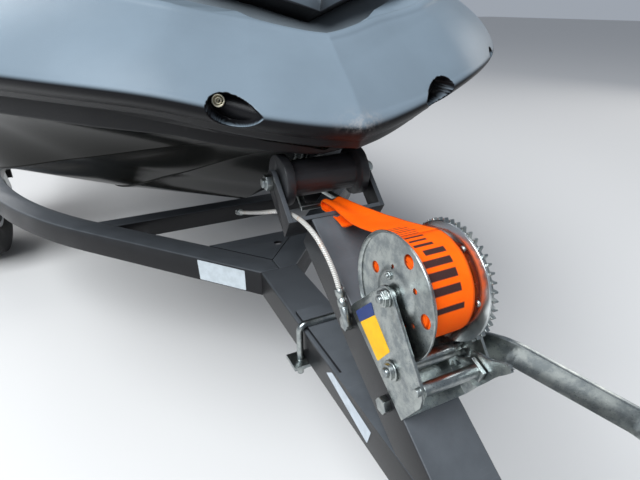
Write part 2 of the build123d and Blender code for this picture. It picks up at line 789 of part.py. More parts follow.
eye_y = drum_y + 289.6
eye_z = drum_z + 16.5
hook_dir = Vector(-drum_x, eye_y - hook_y, eye_z - hook_z)
hook_plane = Plane(origin=(drum_x, hook_y, hook_z), x_dir=(1, 0, 0),
                   z_dir=Vector(1, 0, 0).cross(Vector(0, hook_dir.Y, hook_dir.Z)))
with BuildPart() as winch_hook:
    with BuildSketch(hook_plane):
        with BuildLine():
            reach = hypot(eye_y - hook_y, eye_z - hook_z) + hook_t / 2
            Polyline((-32, -hook_t / 2), (32, -hook_t / 2), (12 - drum_x, reach), (-12 - drum_x, reach),
                     close=True)
        make_face()
        offset(amount=-hook_t, mode=Mode.SUBTRACT)
    extrude(amount=hook_t / 2, both=True)
save(winch_hook.part, "winch_hook")

def vee(x):
    # height of the bottom over the drum axis, x out from the keel
    return keel_z - drum_z + x * tan(radians(deadrise))


tunnel_w = 240
tunnel_len = 300
tunnel_top = keel_z + 205

def side_cut(line, drop, height):
    # slab across the whole craft, from a side-view line lowered by drop, up or down to a height
    with BuildPart() as slab:
        with BuildSketch(Plane.YZ.offset(-side_x - 200)):
            with BuildLine():
                edge = [(drum_y + y, drum_z + z - drop) for y, z in line]
                Polyline((edge[0][0], height), *edge, (edge[-1][0], height), close=True)
            make_face()
        extrude(amount=2 * side_x + 400)
    return slab.part


# Craft hull, sections from bow to stern
# Columns: y aft of the drum, keel z, strake x, strake z, chine x, chine z, top x,
# with each x as a share of the half width
hull_table = [
    (190, 92, 0.04, 97, 0.09, 104, 0.17),
    (300, 36, 0.12, 62, 0.22, 84, 0.445),
    (450, -45, 0.253, 0, 0.481, 44, 0.675),
    (650, -131, 0.405, -64, 0.717, 0, 0.843),
    (1000, -135, 0.506, vee(0.506 * side_x), 0.809, 0, 0.911),
    (1300, -135, 0.54, vee(0.54 * side_x), 0.843, 0, 0.921),
    (stern_y - drum_y - 50, -135, 0.54, vee(0.54 * side_x), 0.843, 0, 0.921),
]
with BuildPart() as hull:
    for y, keel, strake_x, strake_z, chine_x, chine_z, top_x in hull_table:
        side = [(strake_x * side_x, strake_z), (chine_x * side_x, chine_z),
                (top_x * side_x, hull_top_z - drum_z)]
        with BuildSketch(station(drum_y + y)):
            with BuildLine():
                Polyline((0, drum_z + keel), *[(x, drum_z + z) for x, z in side],
                         *[(-x, drum_z + z) for x, z in reversed(side)], close=True)
            make_face()
    loft(ruled=True)
    add(side_cut(low_edge, band_h, hull_top_z + 200), mode=Mode.SUBTRACT)
    # Pump tunnel and engine bay
    with BuildSketch(Plane.XY.offset(keel_z - 5)):
        with Locations((0, stern_y - 325 + tunnel_len / 2)):
            Rectangle(tunnel_w, tunnel_len)
    extrude(amount=tunnel_top - keel_z + 5, mode=Mode.SUBTRACT)
    with BuildSketch(Plane.XY.offset(hull_top_z)):
        with Locations((0, drum_y + 1550)):
            Rectangle(420, 640)
    extrude(amount=-150, mode=Mode.SUBTRACT)
save(hull.part, "hull")

with BuildPart() as engine:
    with BuildSketch(Plane.XY.offset(hull_top_z - 150)):
        with Locations((0, drum_y + 1550)):
            Rectangle(380, 600)
    extrude(amount=146)
save(engine.part, "engine")


def deck_plan(shift):
    # closed outline in plan: the rim's widest line, each point moved outward by shift(z, inset)
    rows = [(share * side_x, drum_y + y, drum_z + z, inset) for share, y, z, inset in corner_table]
    points = []
    for k, (x, y, z, inset) in enumerate(rows):
        if k == 0:
            outward = (0, -1)
        elif k == len(rows) - 1:
            outward = (1, 0)
        else:
            dx, dy = rows[k + 1][0] - rows[k - 1][0], rows[k + 1][1] - rows[k - 1][1]
            outward = (dy / hypot(dx, dy), -dx / hypot(dx, dy))
        move = shift(z, inset)
        points.append((x + move * outward[0], y + move * outward[1]))
    wide = points[-1][0]
    start_dir = (points[1][0] - points[0][0], points[1][1] - points[0][1])
    centre = (side_x - stern_corner, stern_y + skirt_in - stern_corner)
    corner = wide - centre[0]
    with BuildSketch() as plan:
        with BuildLine():
            Spline(*points, tangents=(start_dir, (0, 1)))
            Line(points[-1], (wide, centre[1]))
            CenterArc(centre, corner, 0, 90)
            Line((centre[0], centre[1] + corner), (0, centre[1] + corner))
            mirror(about=Plane.YZ)
        make_face()
    return plan.sketch


def face_plan(height):
    # the leaning face above the widest line, cut at a height
    return deck_plan(lambda z, inset: (z - height) * face_lean)


def skirt_plan(height):
    # the bevel between the low edge and the widest line, cut at a height
    return deck_plan(lambda z, inset: (height - z) * inset / skirt_h)


def low_plan(inboard):
    # the rim's low edge moved inboard
    return deck_plan(lambda z, inset: -inset - inboard)


# The face and the bevel under it meet in the rim's widest line
rim_low_z = drum_z + 85
with BuildPart() as deck:
    for height in (rim_low_z, gunwale_z):
        with BuildSketch(Plane.XY.offset(height)):
            add(face_plan(height))
    loft(ruled=True)
    with BuildPart(mode=Mode.INTERSECT):
        for height in (rim_low_z, gunwale_z):
            with BuildSketch(Plane.XY.offset(height)):
                add(skirt_plan(height))
        loft(ruled=True)
    add(side_cut(low_edge, 0, rim_low_z - 60), mode=Mode.SUBTRACT)
    add(side_cut(lip_edge, 0, gunwale_z + 60), mode=Mode.SUBTRACT)
    # Footwells, open at the stern
    for side in (-1, 1):
        with BuildSketch(Plane.XY.offset(floor_z)):
            with Locations((side * 310, (well_front + stern_y + 200) / 2)):
                RectangleRounded(250, stern_y + 200 - well_front, 60)
        extrude(amount=300, mode=Mode.SUBTRACT)
    with BuildSketch(Plane.XY.offset(floor_z + 30)):
        with Locations((0, stern_y - 100)):
            Rectangle(2 * side_x - 316, 740)
    extrude(amount=300, mode=Mode.SUBTRACT)
    # Plinth under the seat
    with BuildSketch(Plane.XY.offset(floor_z)):
        with Locations((0, (plinth_front + plinth_rear) / 2)):
            Rectangle(370, plinth_rear - plinth_front)
    with BuildSketch(Plane.XY.offset(plinth_top)):
        with Locations((0, (plinth_front + plinth_rear) / 2 - 15)):
            Rectangle(270, plinth_rear - plinth_front - 60)
    loft(ruled=True)
save(deck.part, "deck")

# Black band under the rim
with BuildPart() as rub_band:
    with BuildSketch(Plane.XY.offset(rim_low_z - 30)):
        add(low_plan(band_in))
        add(low_plan(band_in + band_w), mode=Mode.SUBTRACT)
    extrude(amount=bond_z - rim_low_z + 30)
    add(side_cut(low_edge, 0, bond_z + 60), mode=Mode.SUBTRACT)
    add(side_cut(low_edge, band_h, rim_low_z - 120), mode=Mode.SUBTRACT)
save(rub_band.part, "rub_band")

# Front cowl, sections from the nose to the dash
# Columns: y aft of the drum, low z, half width low, half width at the shoulder, shoulder z,
# half width on top, top z
cowl_top = keel_z + craft_h - 278 - drum_z    # over the drum axis, as the table's heights
cowl_table = [
    (211, 226, 10, 8, 240, 5, 248),
    (262, 236, 46, 42, 256, 18, 268),
    (420, 250, 190, 176, 290, 80, 322),
    (700, 250, 330, 300, 350, 150, 420),
    (1000, 250, 380, 330, 420, 170, cowl_top),
    (1180, 250, 300, 250, 400, 120, cowl_top - 40),
]
with BuildPart() as front_cowl:
    for y, low_z, low_x, mid_x, mid_z, top_x, top_z in cowl_table:
        side = [(low_x, drum_z + low_z), (mid_x, drum_z + mid_z), (top_x, drum_z + top_z)]
        with BuildSketch(station(drum_y + y)):
            with BuildLine():
                Polyline(*side, *[(-x, z) for x, z in reversed(side)], close=True)
            make_face()
    loft(ruled=True)
    add(deck.part, mode=Mode.SUBTRACT)
save(front_cowl.part, "front_cowl")

# Seat
with BuildPart() as seat:
    with BuildSketch(Plane.YZ.offset(-150)):
        with BuildLine():
            Polyline((seat_front, plinth_top), (seat_front, plinth_top + 90),
                     (seat_front + 120, plinth_top + 130), (seat_rear - 680, plinth_top + 120),
                     (seat_rear - 520, plinth_top + 150), (seat_rear - 80, plinth_top + 160),
                     (seat_rear, plinth_top + 110), (seat_rear, plinth_top), close=True)
        make_face()
    extrude(amount=300)
    fillet(seat.edges().filter_by(Axis.X).group_by(Axis.Z)[-1], 30)
save(seat.part, "seat")

# Steering
steer_y = drum_y + 1130
rake = 28               # the steering axis leans aft by this angle, degrees
steer_dir = (0, sin(radians(rake)), cos(radians(rake)))
steer_plane = Plane(origin=(0, steer_y, steer_z), x_dir=(1, 0, 0), z_dir=steer_dir)
with BuildPart() as steering_column:
    with BuildSketch(steer_plane.offset(-330)):
        Circle(70)
    with BuildSketch(steer_plane.offset(-40)):
        Circle(42)
    loft()
    add(front_cowl.part, mode=Mode.SUBTRACT)
save(steering_column.part, "steering_column")

with BuildPart() as handlebar:
    with BuildSketch(steer_plane.offset(-40 + soft_gap)):
        Circle(34)
    extrude(amount=48)
    with BuildLine():
        FilletPolyline(*[steer_plane.from_local_coords(p) for p in
                         ((-370, 40, 60), (-210, 0, 50), (-70, 0, 8), (70, 0, 8), (210, 0, 50),
                          (370, 40, 60))], radius=40)
    with BuildSketch(Plane(origin=steer_plane.from_local_coords((-370, 40, 60)),
                           z_dir=steer_plane.from_local_coords((-210, 0, 50))
                           - steer_plane.from_local_coords((-370, 40, 60)))):
        Circle(11)
    sweep()
save(handlebar.part, "handlebar")

with BuildPart() as grips:
    for side in (-1, 1):
        outer = steer_plane.from_local_coords((side * 376, 41.5, 60.4))
        inner = steer_plane.from_local_coords((side * 250, 10, 52.5))
        with BuildSketch(Plane(origin=outer, z_dir=inner - outer)):
            Circle(17)
        extrude(amount=122)
    add(handlebar.part, mode=Mode.SUBTRACT)
save(grips.part, "grips")

# Jet pump in its tunnel
pump_z = drum_z - 30
pump_y = stern_y - 270
pump_len = 200
pump_r = 86
bore_r = 78
pivot_r = 6
yoke_z = 70.3
yoke_t = 6
bucket_y = pump_y + 155
nozzle_y = pump_y + pump_len + 15
nozzle_len = 70
bucket_r = nozzle_y + nozzle_len - bucket_y + 20    # the scoop clears the nozzle's end
bucket_t = 6
bucket_half = 16        # half the scoop's arc, degrees
arm_out = pump_r + 8
arm_up = 34             # the scoop's middle, degrees above the pivot
with BuildPart() as jet_pump:
    with BuildSketch(station(pump_y)):
        with Locations((0, pump_z)):
            Circle(pump_r)
            Circle(bore_r, mode=Mode.SUBTRACT)
    extrude(amount=-pump_len)
    with BuildSketch(station(pump_y)):
        with Locations((0, pump_z)):
            Circle(20)
            Rectangle(2 * bore_r + 2, 8)
            Rectangle(8, 2 * bore_r + 2)
            Circle(12 + pin_gap, mode=Mode.SUBTRACT)
    extrude(amount=-30)
    # Flange that hangs the pump from the tunnel's roof
    with BuildSketch(Plane.XY.offset(pump_z + 70)):
        with Locations((0, pump_y + 60)):
            Rectangle(90, 100)
    extrude(amount=tunnel_top - pump_z - 70)
    with BuildSketch(station(pump_y)):
        with Locations((0, pump_z)):
            Circle(bore_r)
            Circle(24, mode=Mode.SUBTRACT)
            Rectangle(2 * bore_r + 2, 8, mode=Mode.SUBTRACT)
            Rectangle(8, 2 * bore_r + 2, mode=Mode.SUBTRACT)
    extrude(amount=-pump_len, mode=Mode.SUBTRACT)
    # Pivot pins of the reverse bucket
    for side in (-1, 1):
        with BuildSketch(Plane.YZ.offset(side * (bore_r + 3))):
            with Locations((bucket_y, pump_z)):
                Circle(pivot_r)
        extrude(amount=side * (arm_out - bore_r))
    # Yoke that holds the nozzle's upright pivots
    for z in (pump_z - yoke_z - yoke_t, pump_z + yoke_z):
        with BuildSketch(Plane.XY.offset(z)):
            with Locations((0, pump_y + pump_len + 15)):
                Rectangle(36, 74)
        extrude(amount=yoke_t)
save(jet_pump.part, "jet_pump")

with BuildPart() as impeller:
    with BuildSketch(station(pump_y - 25)):
        with Locations((0, pump_z)):
            Circle(12)
    extrude(amount=-70)
    with BuildSketch(station(pump_y + 45)):
        with Locations((0, pump_z)):
            Circle(26)
    extrude(amount=-80)
    for k in range(4):
        turn = radians(90 * k)
        blade = Plane(origin=(0, pump_y + 85, pump_z), x_dir=(0, 1, 0), z_dir=(cos(turn), 0, sin(turn)))
        with BuildSketch(blade.offset(20)):
            Rectangle(58, 5, rotation=40)
        extrude(amount=50)
save(impeller.part, "impeller")

# Steering nozzle on two upright pivots
with BuildPart() as steering_nozzle:
    with BuildSketch(station(nozzle_y)):
        with Locations((0, pump_z)):
            Circle(62)
    with BuildSketch(station(nozzle_y + nozzle_len)):
        with Locations((0, pump_z)):
            Circle(50)
    loft()
    for z in (pump_z - 70, pump_z + 50):
        with BuildSketch(Plane.XY.offset(z)):
            with Locations((0, nozzle_y + 20)):
                Circle(12)
        extrude(amount=20)
    with BuildSketch(station(nozzle_y)):
        with Locations((0, pump_z)):
            Circle(54)
    with BuildSketch(station(nozzle_y + nozzle_len)):
        with Locations((0, pump_z)):
            Circle(42)
    loft(mode=Mode.SUBTRACT)
save(steering_nozzle.part, "steering_nozzle")

# Reverse bucket, raised above the nozzle
with BuildPart() as reverse_bucket:
    with BuildSketch(Plane((-arm_out, bucket_y, pump_z), x_dir=(0, 1, 0), z_dir=(1, 0, 0))):
        with BuildLine():
            CenterArc((0, 0), bucket_r, arm_up - bucket_half, 2 * bucket_half)
            CenterArc((0, 0), bucket_r + bucket_t, arm_up - bucket_half, 2 * bucket_half)
            for angle in (arm_up - bucket_half, arm_up + bucket_half):
                c, s = cos(radians(angle)), sin(radians(angle))
                Line((bucket_r * c, bucket_r * s), ((bucket_r + bucket_t) * c, (bucket_r + bucket_t) * s))
        make_face()
    extrude(amount=2 * arm_out)
    for x in (-arm_out, arm_out - bucket_t):
        with BuildSketch(Plane((x, bucket_y, pump_z), x_dir=(0, 1, 0), z_dir=(1, 0, 0))):
            Circle(16)
            with Locations((bucket_r / 2 * cos(radians(arm_up)), bucket_r / 2 * sin(radians(arm_up)))):
                Rectangle(bucket_r + bucket_t, 26, rotation=arm_up)
            Circle(pivot_r + pin_gap, mode=Mode.SUBTRACT)
        extrude(amount=bucket_t)
save(reverse_bucket.part, "reverse_bucket")

# Ride plate under the pump
with BuildPart() as ride_plate:
    with BuildSketch(station(stern_y - 290)):
        with BuildLine():
            edge = tunnel_w / 2
            edge_z = keel_z + edge * tan(radians(deadrise))
            Polyline((-edge, edge_z), (-60, keel_z + 10), (60, keel_z + 10), (edge, edge_z),
                     (edge, edge_z + 6), (60, keel_z + 16), (-60, keel_z + 16), (-edge, edge_z + 6),
                     close=True)
        make_face()
    extrude(amount=-230)
save(ride_plate.part, "ride_plate")

# Bunks that carry the hull, and their posts
bunk_x = 262
bunk_w = 90
bunk_t = 44
bunk_front = drum_y + 1060
bunk_rear = stern_y - 260
bunk_slope = radians(deadrise)
bunk_top = keel_z + bunk_x * tan(bunk_slope) - soft_gap / cos(bunk_slope)
with BuildPart() as bunk:
    with BuildSketch(Plane(origin=(bunk_x, bunk_front, bunk_top),
                           x_dir=(cos(bunk_slope), 0, sin(bunk_slope)), z_dir=(0, -1, 0))):
        with Locations((0, -bunk_t / 2)):
            RectangleRounded(bunk_w, bunk_t, 6)
    extrude(amount=-(bunk_rear - bunk_front))
save_both(bunk.part, "bunks")

bunk_low = bunk_top - bunk_t / cos(bunk_slope)
cross_top = frame_top - cross_drop
with BuildPart() as bunk_posts:
    for side in (-1, 1):
        for y in (axle_y + 40, rear_cross_y):
            with BuildSketch(Plane.XY.offset(cross_top)):
                with Locations((side * bunk_x, y)):
                    Rectangle(50, cross_w)
            extrude(amount=bunk_low - cross_top + 40)
    add(bunk.part, mode=Mode.SUBTRACT)
    add(mirror(bunk.part, about=Plane.YZ), mode=Mode.SUBTRACT)
    for side in (-1, 1):
        with BuildSketch(station(drum_y)):
            with BuildLine():
                over = 60
                Polyline((side * (bunk_x - over), bunk_low - over * tan(bunk_slope)),
                         (side * (bunk_x + over), bunk_low + over * tan(bunk_slope)),
                         (side * (bunk_x + over), bunk_low + 160), (side * (bunk_x - over), bunk_low + 160),
                         close=True)
            make_face()
        extrude(amount=-3200, mode=Mode.SUBTRACT)
save(bunk_posts.part, "bunk_posts")

# Lamp board across the rails' ends
with BuildPart() as lamp_board:
    with BuildSketch(station(rail_end_y)):
        with Locations((0, frame_z + 28)):
            RectangleRounded(2 * rail_x + 20, 120, 8)
    extrude(amount=-20)
save(lamp_board.part, "lamp_board")

with BuildPart() as tail_lamp:
    with BuildSketch(station(rail_end_y + 20)):
        with Locations((rail_x - 80, frame_z + 28)):
            RectangleRounded(150, 90, 10)
    extrude(amount=-30)
    fillet(tail_lamp.faces().sort_by(Axis.Y)[-1].edges(), 5)
save_both(tail_lamp.part, "tail_lamps")

# Eye on the stem, its two legs in line with the keel
stem_turn = radians(28.5)
stem_y = drum_y + 300
stem_z = drum_z + 36
with BuildPart() as bow_eye:
    eye_plane = Plane(origin=(0, stem_y, stem_z), x_dir=(0, cos(stem_turn), -sin(stem_turn)),
                      z_dir=(1, 0, 0) )
    with BuildLine(eye_plane):
        FilletPolyline((-18, 0), (-18, -32), (18, -32), (18, 0), radius=16)
    with BuildSketch(Plane(origin=eye_plane.from_local_coords((-18, 0, 0)),
                           z_dir=eye_plane.from_local_coords((-18, -1, 0))
                           - eye_plane.from_local_coords((-18, 0, 0)))):
        Circle(4)
    sweep()
    add(hull.part, mode=Mode.SUBTRACT)
save(bow_eye.part, "bow_eye")

# Safety cable along the post
cable_r = 3
cable_x = post_left - cable_r - 0.5
cable_points = [
    (cable_x - 4, drum_y + 71, drum_z - 52), (cable_x - 5, drum_y + 82, drum_z - 30),
    (cable_x - 7, drum_y + 92, drum_z - 14), (cable_x - 10, drum_y + 105, drum_z + 1),
    (cable_x - 13, drum_y + 124, drum_z + 14), (cable_x - 15, drum_y + 150, drum_z + 19),
    (cable_x - 15, drum_y + 180, drum_z + 16), (cable_x - 14, drum_y + 222, drum_z + 6),
    (cable_x - 20, drum_y + 275, drum_z - 16), (cable_x - 20, drum_y + 335, drum_z - 40),
    (cable_x - 20, drum_y + 395, drum_z - 62),
]
with BuildPart() as safety_cable:
    with BuildLine() as cable_line:
        FilletPolyline(*cable_points, radius=16)
    with BuildSketch(Plane(origin=cable_line.line @ 0, z_dir=cable_line.line % 0)):
        Circle(cable_r)
    sweep()
save(safety_cable.part, "safety_cable")

# Ferrules at the cable's ends, the eye under the post's bolt, and the hook for the hull
with BuildPart() as cable_fittings:
    start = Vector(cable_points[0])
    toward = (Vector(cable_points[1]) - start).normalized()
    with BuildSketch(Plane(origin=start, z_dir=-toward)):
        Circle(5)
    extrude(amount=22)
    end = Vector(cable_points[-1])
    onward = (end - Vector(cable_points[-2])).normalized()
    with BuildSketch(Plane(origin=end, z_dir=onward)):
        Circle(5)
    extrude(amount=20)
    add(winch_post.part, mode=Mode.SUBTRACT)
    add(post_bolts.part, mode=Mode.SUBTRACT)
save(cable_fittings.part, "cable_fittings")

# Grab handle behind the seat, sponsons, footwell mats and stern eyes
with BuildPart() as grab_handle:
    with BuildLine():
        FilletPolyline((-120, seat_rear - 10, plinth_top - 60), (-120, seat_rear + 60, plinth_top + 10),
                       (120, seat_rear + 60, plinth_top + 10), (120, seat_rear - 10, plinth_top - 60),
                       radius=20)
    with BuildSketch(Plane(origin=(-120, seat_rear - 10, plinth_top - 60), z_dir=(0, 1, 1))):
        Circle(12)
    sweep()
    add(deck.part, mode=Mode.SUBTRACT)
save(grab_handle.part, "grab_handle")

with BuildPart() as sponson:
    with BuildSketch(Plane.YZ.offset(side_x - 103)):
        with BuildLine():
            Polyline((stern_y - 850, drum_z + 36), (stern_y - 200, drum_z + 26), (stern_y - 180, drum_z + 56),
                     (stern_y - 800, drum_z + 72), close=True)
        make_face()
    extrude(amount=68)
    add(hull.part, mode=Mode.SUBTRACT)
save_both(sponson.part, "sponsons")

with BuildPart() as footwell_mats:
    for side in (-1, 1):
        with BuildSketch(Plane.XY.offset(floor_z)):
            with Locations((side * 310, (mat_front + mat_rear) / 2)):
                RectangleRounded(210, mat_rear - mat_front, 40)
        extrude(amount=4)
save(footwell_mats.part, "footwell_mats")
print("built")
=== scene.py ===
import bpy
import bmesh
import json
from math import sin, cos, pi, radians, atan2, hypot, sqrt, exp
from mathutils.kdtree import KDTree
from mathutils import Vector, Matrix, noise


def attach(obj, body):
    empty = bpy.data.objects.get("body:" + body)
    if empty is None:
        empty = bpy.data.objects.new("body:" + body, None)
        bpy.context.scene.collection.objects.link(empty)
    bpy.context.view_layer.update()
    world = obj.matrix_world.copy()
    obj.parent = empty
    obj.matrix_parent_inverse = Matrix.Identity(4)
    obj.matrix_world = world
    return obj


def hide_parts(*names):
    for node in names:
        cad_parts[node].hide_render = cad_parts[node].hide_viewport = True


# Watercraft on its trailer. Places are in millimetres from the winch drum's axis
# on the trailer's centreline: x to port, y aft, z up.

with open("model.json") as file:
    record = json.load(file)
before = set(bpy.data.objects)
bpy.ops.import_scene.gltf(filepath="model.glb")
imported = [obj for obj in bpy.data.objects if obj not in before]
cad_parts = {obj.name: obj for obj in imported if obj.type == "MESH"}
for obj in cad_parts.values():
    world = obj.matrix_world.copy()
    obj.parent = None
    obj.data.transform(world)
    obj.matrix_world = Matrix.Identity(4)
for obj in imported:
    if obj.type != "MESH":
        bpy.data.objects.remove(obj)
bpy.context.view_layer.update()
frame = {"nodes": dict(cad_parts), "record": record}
nodes = frame["nodes"]
bodyOf = {n: b for b, members in frame["record"]["behaviour"]["bodies"].items() for n in members}
slotOf = {part["node"]: part["material_slot"] for part in frame["record"]["subparts"]}
drumY, drumZ = -1075, 630


def place(x, y, z):
    return Vector((x, y + drumY, z + drumZ)) / 1000


# Camera
camera = bpy.data.objects.new("camera", bpy.data.cameras.new("camera"))
bpy.context.scene.collection.objects.link(camera)
bpy.context.scene.camera = camera
camera.data.sensor_width = 36
camera.data.lens = 26.49
camera.data.clip_start = 0.01
camera.location = place(-255.8, -304.2, 244.2)
heading, pitch = radians(25.84), radians(-26.585)
lookAt = Vector((cos(pitch) * sin(heading), cos(pitch) * cos(heading), sin(pitch)))
camera.rotation_mode = "QUATERNION"
camera.rotation_quaternion = lookAt.to_track_quat("-Z", "Y")

# Light: pale world, one large soft lamp high ahead of the bow, one weak lamp astern
lampTable = [
    # name, direction towards the lamp, distance, size, power, colour
    ("skyLamp", (-0.58, -0.34, 0.74), 5.0, 4.0, 500, (0.93, 0.97, 1.0)),
    ("sideLamp", (0.92, 0.25, 0.30), 6.0, 2.5, 45, (1.0, 0.98, 0.95)),
    ("rearLamp", (-0.35, 0.80, 0.48), 6.0, 3.5, 110, (1.0, 1.0, 1.0)),
]
for name, direction, distance, size, power, colour in lampTable:
    lamp = bpy.data.objects.new(name, bpy.data.lights.new(name, "AREA"))
    bpy.context.scene.collection.objects.link(lamp)
    aim = Vector(direction).normalized()
    lamp.location = place(0, 300, 0) + aim * distance
    lamp.rotation_mode = "QUATERNION"
    lamp.rotation_quaternion = (-aim).to_track_quat("-Z", "Y")
    lamp.data.shape = "DISK"
    lamp.data.size = size
    lamp.data.energy = power
    lamp.data.color = colour
world = bpy.data.worlds.new("studio")
bpy.context.scene.world = world
world.use_nodes = True
sky = world.node_tree
skyShader = sky.nodes["Background"]
skyShader.inputs["Color"].default_value = (0.80, 0.88, 1.0, 1)
skyShader.inputs["Strength"].default_value = 0.42
bpy.context.scene.view_settings.view_transform = "Standard"


# Node helpers
def addNode(tree, kind, inputs=None, **settings):
    node = tree.nodes.new(kind)
    for key, value in settings.items():
        setattr(node, key, value)
    for key, value in (inputs or {}).items():
        socket = node.inputs[key]
        if isinstance(value, bpy.types.NodeSocket):
            tree.links.new(value, socket)
        else:
            socket.default_value = value
    return node


def newGroup(name, inputs, outputs):
    tree = bpy.data.node_groups.new(name, "ShaderNodeTree")
    for label, kind, value in inputs:
        socket = tree.interface.new_socket(label, in_out="INPUT", socket_type="NodeSocket" + kind)
        if value is not None:
            socket.default_value = value
    for label, kind in outputs:
        tree.interface.new_socket(label, in_out="OUTPUT", socket_type="NodeSocket" + kind)
    return tree, tree.nodes.new("NodeGroupInput"), tree.nodes.new("NodeGroupOutput")


def ramp(tree, value, low, high):
    node = addNode(tree, "ShaderNodeMapRange", {"Value": value, "From Min": low, "From Max": high},
                   interpolation_type="SMOOTHSTEP")
    return node.outputs["Result"]


def maths(tree, operation, a, b=0.0):
    return addNode(tree, "ShaderNodeMath", {0: a, 1: b}, operation=operation).outputs[0]


def blendColour(tree, mask, a, b, mode="MIX"):
    node = addNode(tree, "ShaderNodeMix", {0: mask, 6: a, 7: b}, data_type="RGBA", blend_type=mode)
    return node.outputs[2]


def skyFacing(tree):
    # from -1 on faces that look down to 1 on those that look up
    normal = addNode(tree, "ShaderNodeNewGeometry")
    return addNode(tree, "ShaderNodeSeparateXYZ", {0: normal.outputs["Normal"]}).outputs["Z"]


# Grain: fine leather-like texture with a slow tone change
grain, gIn, gOut = newGroup("grain", [("Vector", "Vector", None), ("Scale", "Float", 900.0)],
                            [("Height", "Float"), ("Tone", "Float")])
cells = addNode(grain, "ShaderNodeTexVoronoi", {"Vector": gIn.outputs["Vector"],
                                                "Scale": gIn.outputs["Scale"]})
cloud = addNode(grain, "ShaderNodeTexNoise", {"Vector": gIn.outputs["Vector"], "Scale": 9.0, "Detail": 6.0})
grain.links.new(cells.outputs["Distance"], gOut.inputs["Height"])
grain.links.new(cloud.outputs["Fac"], gOut.inputs["Tone"])

# Dust: what settles on faces that look up, thinned by noise
dust, dIn, dOut = newGroup("dust", [("Vector", "Vector", None), ("Amount", "Float", 0.5),
                                    ("Scale", "Float", 30.0)], [("Mask", "Float")])
facing = ramp(dust, skyFacing(dust), 0.05, 0.95)
patches = addNode(dust, "ShaderNodeTexNoise", {"Vector": dIn.outputs["Vector"], "Scale": dIn.outputs["Scale"],
                                               "Detail": 8.0, "Roughness": 0.65})
thin = ramp(dust, patches.outputs["Fac"], 0.25, 0.75)
mask = maths(dust, "MULTIPLY", maths(dust, "MULTIPLY", facing, thin), dIn.outputs["Amount"])
dust.links.new(mask, dOut.inputs["Mask"])

# Scratches: sparse fine lines in three directions
scratch, sIn, sOut = newGroup("scratches", [("Vector", "Vector", None), ("Scale", "Float", 14.0),
                                            ("Amount", "Float", 0.5)], [("Mask", "Float")])
lines = None
for turn in (0.5, 1.9, 2.6):
    turned = addNode(scratch, "ShaderNodeMapping", {"Vector": sIn.outputs["Vector"], "Scale": (1.0, 18.0, 1.0),
                                                    "Rotation": (turn, turn * 0.7, turn)})
    streak = addNode(scratch, "ShaderNodeTexNoise", {"Vector": turned.outputs[0], "Scale": sIn.outputs["Scale"],
                                                     "Detail": 2.0, "Distortion": 0.3})
    line = ramp(scratch, streak.outputs["Fac"], 0.71, 0.74)
    lines = line if lines is None else maths(scratch, "MAXIMUM", lines, line)
scratch.links.new(maths(scratch, "MULTIPLY", lines, sIn.outputs["Amount"]), sOut.inputs["Mask"])


def newMaterial(name, roughness=0.5, metallic=0.0, **sockets):
    material = bpy.data.materials.new(name)
    material.use_nodes = True
    tree = material.node_tree
    shader = tree.nodes["Principled BSDF"]
    shader.inputs["Roughness"].default_value = roughness
    shader.inputs["Metallic"].default_value = metallic
    for key, value in sockets.items():
        shader.inputs[key.replace("_", " ")].default_value = value
    where = addNode(tree, "ShaderNodeTexCoord").outputs["Object"]
    return material, tree, shader, where


def useGroup(tree, group, **inputs):
    node = tree.nodes.new("ShaderNodeGroup")
    node.node_tree = group
    for key, value in inputs.items():
        if isinstance(value, bpy.types.NodeSocket):
            tree.links.new(value, node.inputs[key])
        else:
            node.inputs[key].default_value = value
    return node


def bump(tree, shader, height, strength, distance=0.001):
    node = addNode(tree, "ShaderNodeBump", {"Strength": strength, "Distance": distance, "Height": height})
    tree.links.new(node.outputs["Normal"], shader.inputs["Normal"])


def rgba(r, g, b):
    return (r, g, b, 1)


materials = {}
# Painted and moulded finishes
# Columns: slot, base colour, dusty colour, roughness, dust, grain scale, grain strength, scratch amount
plainTable = [
    # frame_black's dusty colour, and its dust on faces that look up, also paint a sky sheen on its tops
    ("frame_black", (0.007, 0.007, 0.008), (0.100, 0.110, 0.122), 0.30, 0.45, 1400, 0.08, 0.03),
    ("roller_black", (0.016, 0.017, 0.019), (0.10, 0.10, 0.11), 0.42, 0.25, 700, 0.08, 0.05),
    ("trim_black", (0.008, 0.008, 0.009), (0.05, 0.05, 0.05), 0.50, 0.15, 1100, 0.10, 0.03),
    ("seat_black", (0.022, 0.022, 0.025), (0.10, 0.10, 0.10), 0.48, 0.20, 520, 0.30, 0.0),
    ("mat_grey", (0.085, 0.088, 0.095), (0.20, 0.20, 0.19), 0.80, 0.35, 800, 0.35, 0.0),
    ("grip_rubber", (0.013, 0.013, 0.013), (0.07, 0.07, 0.07), 0.70, 0.15, 700, 0.25, 0.0),
    ("bar_black", (0.016, 0.016, 0.017), (0.08, 0.08, 0.08), 0.35, 0.10, 1400, 0.06, 0.0),
    ("tyre_rubber", (0.018, 0.018, 0.018), (0.13, 0.12, 0.10), 0.75, 0.55, 600, 0.25, 0.0),
    ("guard_black", (0.016, 0.016, 0.017), (0.13, 0.12, 0.11), 0.45, 0.55, 900, 0.12, 0.15),
    ("bunk_carpet", (0.030, 0.032, 0.036), (0.12, 0.11, 0.10), 0.95, 0.30, 420, 0.90, 0.0),
    ("board_white", (0.62, 0.62, 0.60), (0.42, 0.40, 0.36), 0.45, 0.35, 900, 0.05, 0.10),
]
